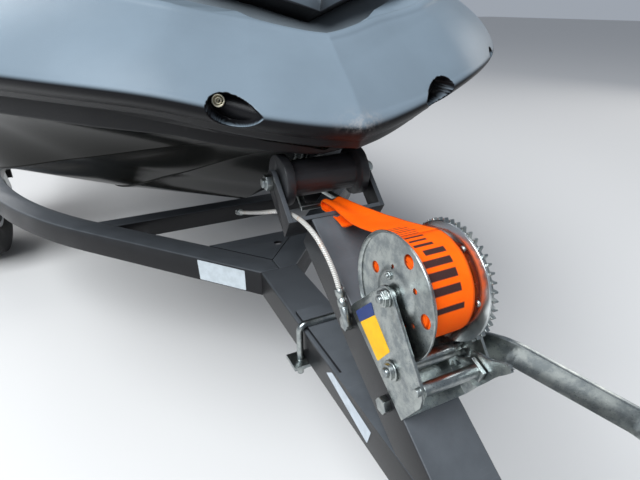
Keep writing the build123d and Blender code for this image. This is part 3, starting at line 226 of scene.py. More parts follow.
for slot, base, dustAndSheenColour, rough, dustAmount, scale, strength, scratchAmount in plainTable:
    gloss = 1.3 if slot in ("frame_black", "trim_black") else 1.45
    material, tree, shader, where = newMaterial(slot, rough, IOR=gloss)
    texture = useGroup(tree, grain, Vector=where, Scale=float(scale))
    dirt = useGroup(tree, dust, Vector=where, Amount=dustAmount, Scale=22.0).outputs["Mask"]
    tone = blendColour(tree, ramp(tree, texture.outputs["Tone"], 0.35, 0.65), rgba(*[c * 0.82 for c in base]),
                       rgba(*[c * 1.18 for c in base]))
    if slot == "frame_black":
        # painted sheen: the paint is drawn paler and bluer, evenly, where it faces the sky
        paintedSheen = maths(tree, "MULTIPLY", ramp(tree, skyFacing(tree), 0.10, 0.85), 0.6)
        tone = blendColour(tree, paintedSheen, tone, rgba(*dustAndSheenColour))
    colour = blendColour(tree, dirt, tone, rgba(*dustAndSheenColour))
    if scratchAmount:
        marks = useGroup(tree, scratch, Vector=where, Scale=16.0, Amount=scratchAmount).outputs["Mask"]
        colour = blendColour(tree, marks, colour, rgba(*[min(1, c * 2.2 + 0.05) for c in dustAndSheenColour]))
    tree.links.new(colour, shader.inputs["Base Color"])
    roughness = maths(tree, "ADD", maths(tree, "MULTIPLY", dirt, 0.3), rough)
    tree.links.new(roughness, shader.inputs["Roughness"])
    bump(tree, shader, texture.outputs["Height"], strength)
    materials[slot] = material

# Moulded deck: its own dark colour below and a painted bluish sky reflection where it faces up, scuffed and stained
# by its marks, with painted shade in its recesses
# Columns: slot, own colour below, painted sky-lit colour above, roughness
deckTable = [
    ("deck_grey", (0.006, 0.006, 0.007), (0.150, 0.190, 0.226), 0.36),
    ("cowl_grey", (0.010, 0.011, 0.013), (0.150, 0.190, 0.226), 0.36),
]
for slot, below, above, rough in deckTable:
    material, tree, shader, where = newMaterial(slot, rough, IOR=1.2)
    texture = useGroup(tree, grain, Vector=where, Scale=1300.0)
    # painted sky light: faces that look up are drawn in the bluish colour above
    paintedSkyLight = ramp(tree, skyFacing(tree), -0.02, 0.55)
    tone = ramp(tree, texture.outputs["Tone"], 0.30, 0.70)
    paintedSkyColour = blendColour(tree, tone, rgba(*[c * 0.93 for c in above]), rgba(*[c * 1.05 for c in above]))
    colour = blendColour(tree, paintedSkyLight, rgba(*below), paintedSkyColour)
    marks = addNode(tree, "ShaderNodeAttribute", attribute_name="marks")
    split = addNode(tree, "ShaderNodeSeparateColor", {0: marks.outputs["Color"]})
    flecks = addNode(tree, "ShaderNodeTexNoise", {"Vector": where, "Scale": 150.0, "Detail": 9.0,
                                                  "Roughness": 0.8})
    broken = maths(tree, "MULTIPLY", ramp(tree, flecks.outputs["Fac"], 0.44, 0.62), split.outputs["Red"])
    colour = blendColour(tree, maths(tree, "MULTIPLY", broken, 0.55), colour, rgba(0.30, 0.28, 0.27))
    red = maths(tree, "MULTIPLY", split.outputs["Green"], 0.8)
    colour = blendColour(tree, red, colour, rgba(0.060, 0.020, 0.014))
    # painted shade: inside the recesses the deck is drawn in its dark colour below
    colour = blendColour(tree, split.outputs["Blue"], colour, rgba(*below))
    tree.links.new(colour, shader.inputs["Base Color"])
    bump(tree, shader, texture.outputs["Height"], 0.12)
    materials[slot] = material

# Even finishes: smooth plastic of the valley under the hood, pale brass of a sleeve
# Columns: slot, colour, roughness, metallic
evenTable = [("valley_grey", (0.120, 0.140, 0.156), 0.25, 0.0), ("brass", (0.58, 0.54, 0.42), 0.38, 1.0)]
for slot, colour, rough, metal in evenTable:
    material, tree, shader, where = newMaterial(slot, rough, metal)
    shader.inputs["Base Color"].default_value = rgba(*colour)
    materials[slot] = material

# Blank label plates, slightly uneven
# Columns: finish, colour, roughness, metallic
labelFinishes = [
    ("paper", (0.50, 0.55, 0.58), 0.38, 0.0), ("yellow", (0.74, 0.40, 0.001), 0.42, 0.0),
    ("navy", (0.012, 0.030, 0.13), 0.40, 0.0), ("reflective", (0.50, 0.55, 0.60), 0.30, 0.35),
]
for finish, colour, rough, metal in labelFinishes:
    material, tree, shader, where = newMaterial("label_" + finish, rough, metal, Specular_IOR_Level=0.2)
    smear = addNode(tree, "ShaderNodeTexNoise", {"Vector": where, "Scale": 90.0, "Detail": 6.0})
    darker = rgba(*[c * 0.86 for c in colour])
    smeared = blendColour(tree, ramp(tree, smear.outputs["Fac"], 0.3, 0.7), darker, rgba(*colour))
    tree.links.new(smeared, shader.inputs["Base Color"])
    materials["label_" + finish] = material

# Bare and plated metals
# Columns: slot, colour, darker colour, roughness, spangle scale, bump
metalTable = [
    ("zinc", (0.40, 0.425, 0.41), (0.23, 0.255, 0.26), 0.31, 60, 0.10),
    ("pump_alloy", (0.42, 0.43, 0.44), (0.30, 0.31, 0.32), 0.40, 90, 0.10),
    ("rim_silver", (0.55, 0.56, 0.58), (0.44, 0.45, 0.47), 0.38, 40, 0.04),
    ("engine_alloy", (0.22, 0.22, 0.23), (0.15, 0.15, 0.16), 0.55, 50, 0.20),
]
for slot, colour, darker, rough, scale, strength in metalTable:
    material, tree, shader, where = newMaterial(slot, rough, 1.0)
    spangle = addNode(tree, "ShaderNodeTexNoise", {"Vector": where, "Scale": float(scale), "Detail": 7.0,
                                                   "Roughness": 0.7})
    fine = addNode(tree, "ShaderNodeTexNoise", {"Vector": where, "Scale": scale * 14.0, "Detail": 3.0})
    patch = ramp(tree, spangle.outputs["Fac"], 0.38, 0.62)
    tree.links.new(blendColour(tree, patch, rgba(*darker), rgba(*colour)), shader.inputs["Base Color"])
    wide = maths(tree, "MULTIPLY", fine.outputs["Fac"], 0.22)
    tree.links.new(maths(tree, "ADD", wide, rough - 0.11), shader.inputs["Roughness"])
    bump(tree, shader, fine.outputs["Fac"], strength, 0.0006)
    materials[slot] = material

# Glossy moulded hull with dust and specks of dried water
material, tree, shader, where = newMaterial("hull_black", 0.08, IOR=1.12)
specks = addNode(tree, "ShaderNodeTexNoise", {"Vector": where, "Scale": 260.0, "Detail": 4.0})
spots = ramp(tree, specks.outputs["Fac"], 0.66, 0.74)
dirt = useGroup(tree, dust, Vector=where, Amount=0.10, Scale=14.0).outputs["Mask"]
mark = maths(tree, "MAXIMUM", maths(tree, "MULTIPLY", spots, 0.35), dirt)
skinColour = blendColour(tree, mark, rgba(0.003, 0.003, 0.002), rgba(0.05, 0.04, 0.03))
tree.links.new(skinColour, shader.inputs["Base Color"])
tree.links.new(maths(tree, "ADD", maths(tree, "MULTIPLY", mark, 0.4), 0.12), shader.inputs["Roughness"])
materials["hull_black"] = material

# Braided wire in a clear sleeve, rusty in places
material, tree, shader, where = newMaterial("cable_clear", 0.3, Coat_Weight=0.5)
strands = addNode(tree, "ShaderNodeTexWave", {"Vector": where, "Scale": 190.0, "Distortion": 1.5,
                                              "Detail": 2.0}, bands_direction="DIAGONAL")
rusty = addNode(tree, "ShaderNodeTexNoise", {"Vector": where, "Scale": 60.0, "Detail": 6.0, "Roughness": 0.7})
braid = blendColour(tree, strands.outputs["Fac"], rgba(0.24, 0.23, 0.21), rgba(0.56, 0.55, 0.52))
rust = maths(tree, "MULTIPLY", ramp(tree, rusty.outputs["Fac"], 0.56, 0.68), 0.7)
tree.links.new(blendColour(tree, rust, braid, rgba(0.34, 0.16, 0.07)), shader.inputs["Base Color"])
bump(tree, shader, strands.outputs["Fac"], 0.4, 0.001)
materials["cable_clear"] = material

# Orange webbing: u runs across it and v along it, both in metres
material, tree, shader, where = newMaterial("strap_orange", 0.70, Specular_IOR_Level=0.12)
webMap = addNode(tree, "ShaderNodeUVMap", uv_map="web")
webCoords = addNode(tree, "ShaderNodeSeparateXYZ", {0: webMap.outputs[0]})
webAcross, webAlong = webCoords.outputs["X"], webCoords.outputs["Y"]


def inBand(value, low, high, soft=0.0006):
    rising = addNode(tree, "ShaderNodeMapRange", {"Value": value, "From Min": low - soft,
                                                  "From Max": low + soft})
    falling = addNode(tree, "ShaderNodeMapRange", {"Value": value, "From Min": high - soft,
                                                   "From Max": high + soft, "To Min": 1.0, "To Max": 0.0})
    return maths(tree, "MULTIPLY", rising.outputs[0], falling.outputs[0])


# Plain printed bars, columns: across from, to, along from, to
barTable = [
    (0.0040, 0.0360, 0.0325, 0.0385), (0.0040, 0.0340, 0.0490, 0.0565), (0.0040, 0.0340, 0.0620, 0.0700),
    (0.0040, 0.0340, 0.0745, 0.0815), (0.0110, 0.0340, 0.0860, 0.0920), (0.0060, 0.0270, 0.0965, 0.1000),
    (0.0060, 0.0250, 0.1040, 0.1070), (0.0060, 0.0270, 0.1110, 0.1140), (0.0060, 0.0270, 0.1185, 0.1205),
    (0.0060, 0.0300, 0.1240, 0.1258), (0.0080, 0.0330, 0.1310, 0.1330), (0.0080, 0.0300, 0.1365, 0.1382),
    (0.0120, 0.0320, 0.1430, 0.1450), (0.0120, 0.0280, 0.1485, 0.1500),
]
inked = None
for acrossFrom, acrossTo, alongFrom, alongTo in barTable:
    bar = maths(tree, "MULTIPLY", inBand(webAcross, acrossFrom, acrossTo),
                inBand(webAlong, alongFrom, alongTo))
    inked = bar if inked is None else maths(tree, "MAXIMUM", inked, bar)
threads = addNode(tree, "ShaderNodeCombineXYZ", {0: webAcross, 1: webAlong})
weft = addNode(tree, "ShaderNodeTexWave", {"Vector": threads.outputs[0], "Scale": 260.0, "Distortion": 0.4},
               bands_direction="Y")
warp = addNode(tree, "ShaderNodeTexWave", {"Vector": threads.outputs[0], "Scale": 180.0, "Distortion": 0.6},
               bands_direction="X")
weave = maths(tree, "MULTIPLY", weft.outputs["Fac"], warp.outputs["Fac"])
grubby = addNode(tree, "ShaderNodeTexNoise", {"Vector": where, "Scale": 34.0, "Detail": 6.0,
                                              "Roughness": 0.7})
worn = ramp(tree, grubby.outputs["Fac"], 0.35, 0.75)
base = blendColour(tree, worn, rgba(0.93, 0.100, 0.0006), rgba(0.90, 0.125, 0.002))
edges = maths(tree, "MAXIMUM", inBand(webAcross, -0.01, 0.0016), inBand(webAcross, 0.0464, 0.06))
base = blendColour(tree, maths(tree, "MULTIPLY", edges, 0.35), base, rgba(0.35, 0.045, 0.004))
ink = maths(tree, "MULTIPLY", inked, ramp(tree, grubby.outputs["Fac"], 0.95, 0.62))
base = blendColour(tree, maths(tree, "MULTIPLY", ink, 0.97), base, rgba(0.014, 0.015, 0.017))
tree.links.new(base, shader.inputs["Base Color"])
bump(tree, shader, weave, 0.35, 0.0005)
materials["strap_orange"] = material

# Smoother plating of the drum's ring
material, tree, shader, where = newMaterial("zinc_bright", 0.2, 1.0)
cloudy = addNode(tree, "ShaderNodeTexNoise", {"Vector": where, "Scale": 70.0, "Detail": 6.0})
tree.links.new(maths(tree, "ADD", maths(tree, "MULTIPLY", cloudy.outputs["Fac"], 0.25), 0.10),
               shader.inputs["Roughness"])
shader.inputs["Base Color"].default_value = rgba(0.62, 0.64, 0.64)
materials["zinc_bright"] = material

# Red lamp lens
material, tree, shader, where = newMaterial("lamp_red", 0.12, Coat_Weight=0.5)
ribs = addNode(tree, "ShaderNodeTexWave", {"Vector": where, "Scale": 60.0}, bands_direction="X")
shader.inputs["Base Color"].default_value = rgba(0.42, 0.006, 0.006)
bump(tree, shader, ribs.outputs["Fac"], 0.5, 0.002)
materials["lamp_red"] = material

for name, node in nodes.items():
    node.data.materials.clear()
    node.data.materials.append(materials[slotOf[name]])
print("materials done")


# Mesh helpers
def toMesh(shape, mesh):
    # writes a bmesh into a mesh, given by itself or by its new name
    if isinstance(mesh, str):
        mesh = bpy.data.meshes.new(mesh)
    shape.to_mesh(mesh)
    shape.free()
    return mesh


def finishPiece(obj, body, replaced=()):
    # live modifiers are applied, then the piece rides on its body
    if obj.modifiers or obj.type != "MESH":
        graph = bpy.context.evaluated_depsgraph_get()
        mesh = bpy.data.meshes.new_from_object(obj.evaluated_get(graph))
        obj.modifiers.clear()
        if obj.type == "MESH":
            obj.data = mesh
    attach(obj, body)
    if replaced:
        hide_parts(*replaced)
    return obj


def newObject(name, mesh, slot):
    obj = bpy.data.objects.new(name, mesh)
    bpy.context.scene.collection.objects.link(obj)
    mesh.materials.append(materials[slot])
    return obj


def merged(nodeName):
    # a CAD node's mesh with its doubles merged and its flat faces joined
    mesh = nodes[nodeName].data.copy()
    mesh.name = nodeName + "Soft"
    mesh.materials.clear()
    shape = bmesh.new()
    shape.from_mesh(mesh)
    bmesh.ops.remove_doubles(shape, verts=shape.verts, dist=2e-6)
    bmesh.ops.dissolve_limit(shape, angle_limit=radians(0.8), verts=shape.verts, edges=shape.edges)
    toMesh(shape, mesh)
    for face in mesh.polygons:
        face.use_smooth = True
    return mesh


def rounded(obj, width, segments=2, angle=32):
    bevel = obj.modifiers.new("edge", "BEVEL")
    bevel.width = width / 1000
    bevel.segments = segments
    bevel.limit_method = "ANGLE"
    bevel.angle_limit = radians(angle)
    bevel.harden_normals = True
    bevel.use_clamp_overlap = True


def softened(nodeName, width, segments=2, angle=32):
    # a copy of a CAD node with its sharp edges rounded
    obj = newObject(nodeName + "Piece", merged(nodeName), slotOf[nodeName])
    rounded(obj, width, segments, angle)
    return finishPiece(obj, bodyOf[nodeName], (nodeName,))


def cutter(centre, size, turn=0.0):
    # a block that opens other meshes, removed once they are finished
    shape = bmesh.new()
    bmesh.ops.create_cube(shape, size=1)
    stretch = Matrix.Diagonal((*[s / 1000 for s in size], 1))
    shape.transform(Matrix.Translation(centre) @ Matrix.Rotation(turn, 4, "Z") @ stretch)
    return bpy.data.objects.new("cutter", toMesh(shape, "cutter"))


def rod(name, centre, axis, radius, length, segments=32):
    # mesh of a straight rod about a point in metres, with a hexagon's or a circle's section
    shape = bmesh.new()
    turnTo = Vector(axis).to_track_quat("Z", "Y").to_matrix().to_4x4()
    bmesh.ops.create_cone(shape, cap_ends=True, segments=segments, radius1=radius / 1000,
                          radius2=radius / 1000, depth=length / 1000,
                          matrix=Matrix.Translation(centre) @ turnTo)
    return toMesh(shape, name)


def slab(top, foot):
    # a plate between two outlines of as many points
    shape = bmesh.new()
    above = [shape.verts.new(p) for p in top]
    below = [shape.verts.new(p) for p in foot]
    shape.faces.new(above)
    shape.faces.new(below[::-1])
    for k in range(len(above)):
        n = (k + 1) % len(above)
        shape.faces.new([above[k], below[k], below[n], above[n]])
    bmesh.ops.recalc_face_normals(shape, faces=shape.faces)
    return shape


def openedBy(obj, *blocks):
    for block in blocks:
        bpy.context.scene.collection.objects.link(block)
        cut = obj.modifiers.new("cut", "BOOLEAN")
        cut.operation = "DIFFERENCE"
        cut.solver = "EXACT"
        cut.object = block


def dropped(*blocks):
    for block in blocks:
        bpy.data.objects.remove(block)


# Smooth curve through a table's rows, spaced by its first two columns
def tableCurve(rows, endSlope=None):
    knots = [0.0]
    for a, b in zip(rows, rows[1:]):
        knots.append(knots[-1] + hypot(b[0] - a[0], b[1] - a[1]))
    slopes = []
    for k in range(len(rows)):
        a, b = max(k - 1, 0), min(k + 1, len(rows) - 1)
        slopes.append([(q - p) / (knots[b] - knots[a]) for p, q in zip(rows[a], rows[b])])
    if endSlope:
        slopes[-1] = list(endSlope) + [0.0] * (len(rows[0]) - len(endSlope))

    def at(t):
        # values and plan direction at a distance t along the curve
        k = 0
        while k < len(rows) - 2 and t > knots[k + 1]:
            k += 1
        span = knots[k + 1] - knots[k]
        u = (t - knots[k]) / span
        a0, a1 = 2 * u ** 3 - 3 * u * u + 1, u ** 3 - 2 * u * u + u
        b0, b1 = 3 * u * u - 2 * u ** 3, u ** 3 - u * u
        values = [a0 * p + a1 * span * m + b0 * q + b1 * span * n
                  for p, m, q, n in zip(rows[k], slopes[k], rows[k + 1], slopes[k + 1])]
        along = [(6 * u * u - 6 * u) * (rows[k][i] - rows[k + 1][i]) / span
                 + (3 * u * u - 4 * u + 1) * slopes[k][i]
                 + (3 * u * u - 2 * u) * slopes[k + 1][i] for i in (0, 1)]
        return values, Vector(along).normalized()
    return at, knots


def spread(low, high, step):
    # evenly spaced values from low up to high, without high itself
    count = max(1, round((high - low) / step))
    return [low + (high - low) * k / count for k in range(count)]


def skin(name, grid, slot, mirrored=True, closed=False, other=None):
    # a sheet of quads from rows of points in metres; a mirrored one also covers the other side,
    # with rows of its own where they differ
    shape = bmesh.new()
    for sign, rows in ((1, grid), (-1, other or grid))[:1 + mirrored]:
        verts = [[shape.verts.new((sign * p[0], p[1], p[2])) for p in row] for row in rows]
        wide = len(rows[0])
        for r in range(len(rows) - 1):
            for c in range(wide - 1 + closed):
                n = (c + 1) % wide
                corners = [verts[r][c], verts[r][n], verts[r + 1][n], verts[r + 1][c]][::sign]
                if len({tuple(v.co) for v in corners}) > 2:
                    shape.faces.new(corners).smooth = True
    bmesh.ops.remove_doubles(shape, verts=shape.verts, dist=2e-6)
    bmesh.ops.recalc_face_normals(shape, faces=shape.faces)
    return newObject(name, toMesh(shape, name), slot)


def outward(obj, probe):
    # turn an open sheet so that the face nearest to a point looks towards it
    mesh = obj.data
    nearest = min(mesh.polygons, key=lambda f: (f.center - probe).length)
    if (probe - nearest.center).dot(nearest.normal) < 0:
        mesh.flip_normals()
    return obj


# Deck's outer shell, laid over the CAD deck's rim
deck = {
    "halfWidth": 593, "sternY": 2926, "cornerRadius": 130, "bowBlend": 60,
    "skirtHeight": 30, "roundBelow": 20, "roundAbove": 5, "turnDrop": 9, "proud": 2.3, "lean": 1.05,
    "platformHalf": 434, "platformTop": 203, "platformStart": 2760,
}
# Columns: distance along the rim, length, height, rise of its middle, depth, sides (port 1, starboard -1)
recessTable = [(132, 54, 33, -2, 30, (1, -1)), (338, 36, 17, 2, 16, (1,))]
# Columns: rise from the lip, distance inboard, round the lip's rolled bead
beadTable = [(-7.5, 0), (-6.0, 0.5), (-4.2, 0.7), (-3.0, 0.2), (-0.6, -0.6), (1.2, 0.9), (2.2, 2.4), (2.2, 4.2),
             (1.0, 5.6), (-1.0, 6.4), (-3.5, 6.6)]
# Columns: x, y, height of the widest line, inset of the low edge, rise of the lip, the face's lean, its bend
rimTable = [
    (0, 117, 133, 12, 79, 0.75, 0.0050), (50, 131, 137, 18, 80, 0.72, 0.0052),
    (110, 150, 146, 27, 83, 0.70, 0.0050), (200, 183, 166, 36, 78, 0.62, 0.0060),
    (300, 258, 176, 38, 82, 0.48, 0.0072), (395, 355, 182, 34, 76, 0.40, 0.0088),
    (500, 490, 185, 28, 73, 0.40, 0.0090), (565, 680, 185, 26, 73, 0.40, 0.0090),
    (593, 1050, 185, 26, 73, 0.40, 0.0090),
]
rimAt, rimKnots = tableCurve(rimTable, (0, 1))
sideEnd = rimKnots[-1]
straightY = rimTable[-1][1]    # where the sides start to run straight aft
cornerStart = sideEnd + deck["sternY"] - deck["cornerRadius"] - straightY
cornerEnd = cornerStart + deck["cornerRadius"] * pi / 2
sternEnd = cornerEnd + deck["halfWidth"] - deck["cornerRadius"]


def rimStation(t):
    # plan place, outward direction and the other columns, at a distance t from the stem
    if t <= sideEnd:
        values, along = rimAt(t)
        return values[0], values[1], (along.y, -along.x), values[2:]
    rest = list(rimTable[-1][2:])
    if t <= cornerStart:
        return deck["halfWidth"], straightY + t - sideEnd, (1, 0), rest
    middle = (deck["halfWidth"] - deck["cornerRadius"], deck["sternY"] - deck["cornerRadius"])
    if t <= cornerEnd:
        turn = (t - cornerStart) / deck["cornerRadius"]
        return (middle[0] + deck["cornerRadius"] * cos(turn), middle[1] + deck["cornerRadius"] * sin(turn),
                (cos(turn), sin(turn)), rest)
    return middle[0] - (t - cornerEnd), deck["sternY"], (0, 1), rest


def faceInset(rise, lean, bend):
    # how far the face lies inboard of the widest line, kept outside the CAD deck's plain face
    return min(deck["lean"] * rise - deck["proud"], lean * rise + bend * rise * rise)


def rimOffset(rest, rise, inward):
    height, inset, lip, lean, bend = rest
    off = inset * rise / deck["skirtHeight"] if rise < 0 else -faceInset(rise, lean, bend)
    return off - inward


def creaseStart(rise, inward):
    # distance along the rim at which an inset line meets the centreline
    low, high = 0.0, deck["bowBlend"] * 0.9
    for step in range(16):
        middle = (low + high) / 2
        x, y, out, rest = rimStation(middle)
        if x + out[0] * rimOffset(rest, rise, inward) < 0:
            low = middle
        else:
            high = middle
    return low


def rimPoint(t, rise, inward=0.0):
    atBow = t == 0
    if t < deck["bowBlend"]:
        start = creaseStart(rise, inward)
        t = start + t * (deck["bowBlend"] - start) / deck["bowBlend"]
    x, y, out, rest = rimStation(t)
    off = rimOffset(rest, rise, inward)
    return 0.0 if atBow else x + out[0] * off, y + out[1] * off, rest[0] + rise


def recessShare(t, rise, wanted):
    # how far inside a teardrop recess a point lies, from 0 to 1, and the depth there
    for at, length, high, middle, depth, sides in recessTable:
        u = (t - at + length / 2) / length
        if 0 < u < 1 and wanted in sides:
            gap = high / 2 * 2.38 * u ** 0.8 * sqrt(1 - u) - abs(rise - middle)
            if gap > 0:
                share = min(1.0, gap / 2.4)
                return share, share * depth * (0.18 + 0.82 * u ** 0.8)
    return 0.0, 0.0


def deckColumns():
    columns = []
    # Columns: start, end, spacing
    stretches = [(0, 24, 3), (24, 103, 7), (103, 163, 1.1), (163, 318, 9), (318, 358, 1.4), (358, sideEnd, 14),
                 (sideEnd, cornerStart, 55), (cornerStart, cornerEnd, 14), (cornerEnd, sternEnd, 60)]
    for start, end, step in stretches:
        columns += spread(start, end, step)
    return columns + [sternEnd]


# points of the shell that lie in a recess, and how deep each one's shade is
shaded = []


def quadratic(start, peak, end, count):
    # points along a curve that leaves start towards peak and arrives at end from it, without start itself
    shares = [k / count for k in range(1, count + 1)]
    return [(1 - u) ** 2 * start + 2 * u * (1 - u) * peak + u * u * end for u in shares]


def deckRow(t, side):
    # from under the skirt, up the face and over the lip
    out, (height, inset, lip, lean, bend) = rimStation(t)[2:]
    row = [rimPoint(t, -29, 26), rimPoint(t, -29.5, 8), rimPoint(t, -30, 3), rimPoint(t, -29.2, 0.4)]
    below, above, fine = deck["roundBelow"], deck["roundAbove"], 1.2
    row += [rimPoint(t, rise) for rise in spread(-27, -below, fine)]
    start, end = Vector(rimPoint(t, -below)), Vector(rimPoint(t, above))
    # the face runs on a little below the CAD deck's widest line before it turns under
    drop = deck["turnDrop"] * min(1.0, max(0.0, (cornerStart - t) / 300))
    x, y, z = rimPoint(t, 0)
    peak = Vector((x + out[0] * lean * drop * (t > 0), y + out[1] * lean * drop, z - drop))
    row += [start] + quadratic(start, peak, end, 24)
    row += [rimPoint(t, rise) for rise in spread(above + fine, above + 15, fine)]
    row += [rimPoint(t, above + 15 + (lip - 23 - above) * k / 20) for k in range(20)]
    row += [rimPoint(t, lip + rise, inward) for rise, inward in beadTable]
    moved = []
    for x, y, z in row:
        share, depth = recessShare(t, z - height, side)
        moved.append(place(x - out[0] * depth * 0.9, y - out[1] * depth * 0.9, z + depth * 0.12))
        if share > 0:
            shaded.append((Vector((side * moved[-1].x, moved[-1].y, moved[-1].z)), share))
    return moved


def platformOpened(obj):
    # the shell is cut down to the boarding platform across the stern
    shape = bmesh.new()
    shape.from_mesh(obj.data)
    edgeX, edgeZ = deck["platformHalf"] / 1000, place(0, 0, deck["platformTop"]).z
    sternY = place(0, deck["platformStart"], 0).y
    for spot, axis in (((0, 0, edgeZ), (0, 0, 1)), ((edgeX, 0, 0), (1, 0, 0)), ((-edgeX, 0, 0), (1, 0, 0))):
        near = [f for f in shape.faces if f.calc_center_median().y > sternY]
        parts = near + list({e for f in near for e in f.edges}) + list({v for f in near for v in f.verts})
        bmesh.ops.bisect_plane(shape, geom=parts, plane_co=spot, plane_no=axis)
    middles = [(f, f.calc_center_median()) for f in shape.faces]
    gone = [f for f, middle in middles if middle.y > sternY and middle.z > edgeZ and abs(middle.x) < edgeX]
    bmesh.ops.delete(shape, geom=gone, context="FACES")
    toMesh(shape, obj.data)


def rimWearAndRecessShade(obj):
    # where the shell is scuffed (red), stained (green) and has painted shade in a recess (blue), as a colour on its
    # vertices
    marks = obj.data.color_attributes.new("marks", "FLOAT_COLOR", "POINT")
    tip = place(0, 117, 133)
    finder = KDTree(len(shaded))
    for k, (spot, share) in enumerate(shaded):
        finder.insert(spot, k)
    finder.balance()
    for vert, mark in zip(obj.data.vertices, marks.data):
        p = (vert.co - tip) * 1000
        along = abs(p.x) + max(0, p.y) * 0.3
        scuff = exp(-((abs(p.x) - 4) / 19) ** 2) * exp(-((p.z - 2) / 8) ** 2)
        stain = exp(-(along / 16) ** 2) * max(0, min(1, (-8 - p.z) / 12)) * 0.5
        spot, k, distance = finder.find(vert.co)
        inside = max(0, min(1, (shaded[k][1] - 0.05) / 0.35)) if distance < 4e-5 else 0
        mark.color = (scuff, stain, inside, 1)


columns = deckColumns()
deckShell = skin("deckShell", [deckRow(t, 1) for t in columns], "deck_grey",
                 other=[deckRow(t, -1) for t in columns])
outward(deckShell, place(0, -200, 300))
platformOpened(deckShell)
rimWearAndRecessShade(deckShell)
finishPiece(deckShell, bodyOf["deck"])


# Deck under its shell
def tucked(mesh, amount=22, reach=28, under=5):
    # the CAD rim drawn inboard, so that it stays under the shell's rounder one
    stations = [rimStation(t) for t in spread(0, sternEnd, 4)]
    for vert in mesh.vertices:
        p = vert.co * 1000
        x, y, z = abs(p.x), p.y - drumY, p.z - drumZ
        near = min(stations, key=lambda s: (s[0] - x) ** 2 + (s[1] - y) ** 2)
        rise = z - near[3][0]
        if not -32 < rise < near[3][2] + 3:
            continue
        off = (x - near[0]) * near[2][0] + (y - near[1]) * near[2][1]
        limit = rimOffset(near[3], rise, under + amount * max(0, 1 - abs(rise) / reach))
        if off > limit:
            x, y = x - near[2][0] * (off - limit), y - near[2][1] * (off - limit)
            vert.co = place(max(x, 0) * (1 if p.x >= 0 else -1), y, z)
    return mesh


# Blocks that open the CAD deck behind the bow's recesses
recessBlocks = []
for at, length, high, middle, depth, sides in recessTable:
    for side in sides:
        x, y, out, rest = rimStation(at)
        turn = atan2(out[1], out[0] * side)
        centre = place(side * (x - out[0] * 10), y - out[1] * 10, rest[0] + middle)
        recessBlocks.append(cutter(centre, (2 * depth + 12, length + 8, high + 10), turn))


# Sleeved socket bolt in the first recess on each side
# Columns: distance along the axis, radius
boltProfile = [(-16, 7.0), (4.4, 7.0), (5.0, 6.5), (5.0, 5.3), (4.4, 4.9), (1.0, 4.8), (1.0, 4.1), (3.6, 4.0),
               (4.2, 3.6), (4.2, 2.0), (0.5, 1.9), (0.3, 0.0)]


def lathe(name, profile, centre, axis, slot, segments=40):
    # a turned form: profile of (distance along the axis, radius) in mm about a point in metres
    axis = Vector(axis).normalized()
    side = axis.orthogonal().normalized()
    other = axis.cross(side)
    grid = []
    for along, radius in profile:
        ring = []
        for k in range(segments):
            turn = 2 * pi * k / segments
            ring.append(centre + axis * along / 1000 + (side * cos(turn) + other * sin(turn)) * radius / 1000)
        grid.append(ring)
    return skin(name, grid, slot, mirrored=False, closed=True)


bolt = {"aft": 16, "rise": 4, "lift": 0.18}
# Columns: label, side, share of the recess's depth at which it sits
for label, side, share in (("right", -1, 0.6), ("left", 1, 0.85)):
    at, depth = recessTable[0][0], recessTable[0][4]
    x, y, out, rest = rimStation(at + bolt["aft"])
    back = 6 + depth * share
    spot = place(side * (x - out[0] * back), y - out[1] * back, rest[0] + bolt["rise"])
    axis = (side * out[0], out[1], bolt["lift"])
    finishPiece(lathe("recessBolt_" + label, boltProfile, spot, axis, "brass"), bodyOf["deck"])


# Valley behind the lip, and the hood that overhangs it with a dark underside
# Columns: the valley's edge at the lip x, y, z, its edge under the hood x, y, z
valleyTable = [
    (0, 208, 211, 0, 268, 228), (30, 221, 217, 30, 281, 238), (60, 234, 223, 60, 293, 248),
    (130, 264, 237, 128, 324, 264), (186, 288, 246, 176, 352, 268), (262, 350, 255, 236, 404, 270),
    (336, 500, 257, 300, 510, 270), (372, 700, 257, 330, 700, 270), (404, 1000, 257, 375, 1000, 270),
    (330, 1180, 257, 300, 1170, 270),
]
# Columns: the hood's low edge x, y, z, the back edge of its underside x, y, z
underTable = [
    (0.2, 222.5, 237.5, 0, 257, 225), (26, 232, 244.5, 26, 268, 233.6), (60, 245.4, 254, 60, 282, 245),
    (103, 262, 267, 101, 300, 259), (176, 330, 278, 163, 362, 266), (204, 420, 272, 190, 440, 266),
    (334, 700, 266, 322, 705, 262),
]
# Columns: y, then x, z of the hood's low edge, side, shoulder and ridge
hoodTable = [
    (222, 0.4, 237, 0.3, 240, 0.2, 245, 0, 249), (232, 26, 244.5, 18, 256, 8, 268, 0, 274),
    (262, 103, 267, 84, 284, 34, 299, 0, 304), (330, 176, 278, 146, 300, 62, 318, 0, 323),
    (420, 204, 272, 182, 294, 84, 326, 0, 336), (700, 334, 266, 304, 352, 154, 423, 0, 440),
    (1000, 384, 262, 334, 422, 174, 562, 0, 572), (1180, 304, 262, 254, 402, 124, 522, 0, 530),
]
# Columns: share of the way across, shift aft, shift up
valleyProfile = [(0, -20, -18), (0, -16, -9.5), (0, -0.5, -5), (0.3, 0, -5), (0.6, 0, 0), (1, 0, 0), (1, 14, -6)]
underProfile = [(0, 0, 0), (0.6, 0, 0), (1, 0, 0), (1, 14, -12)]


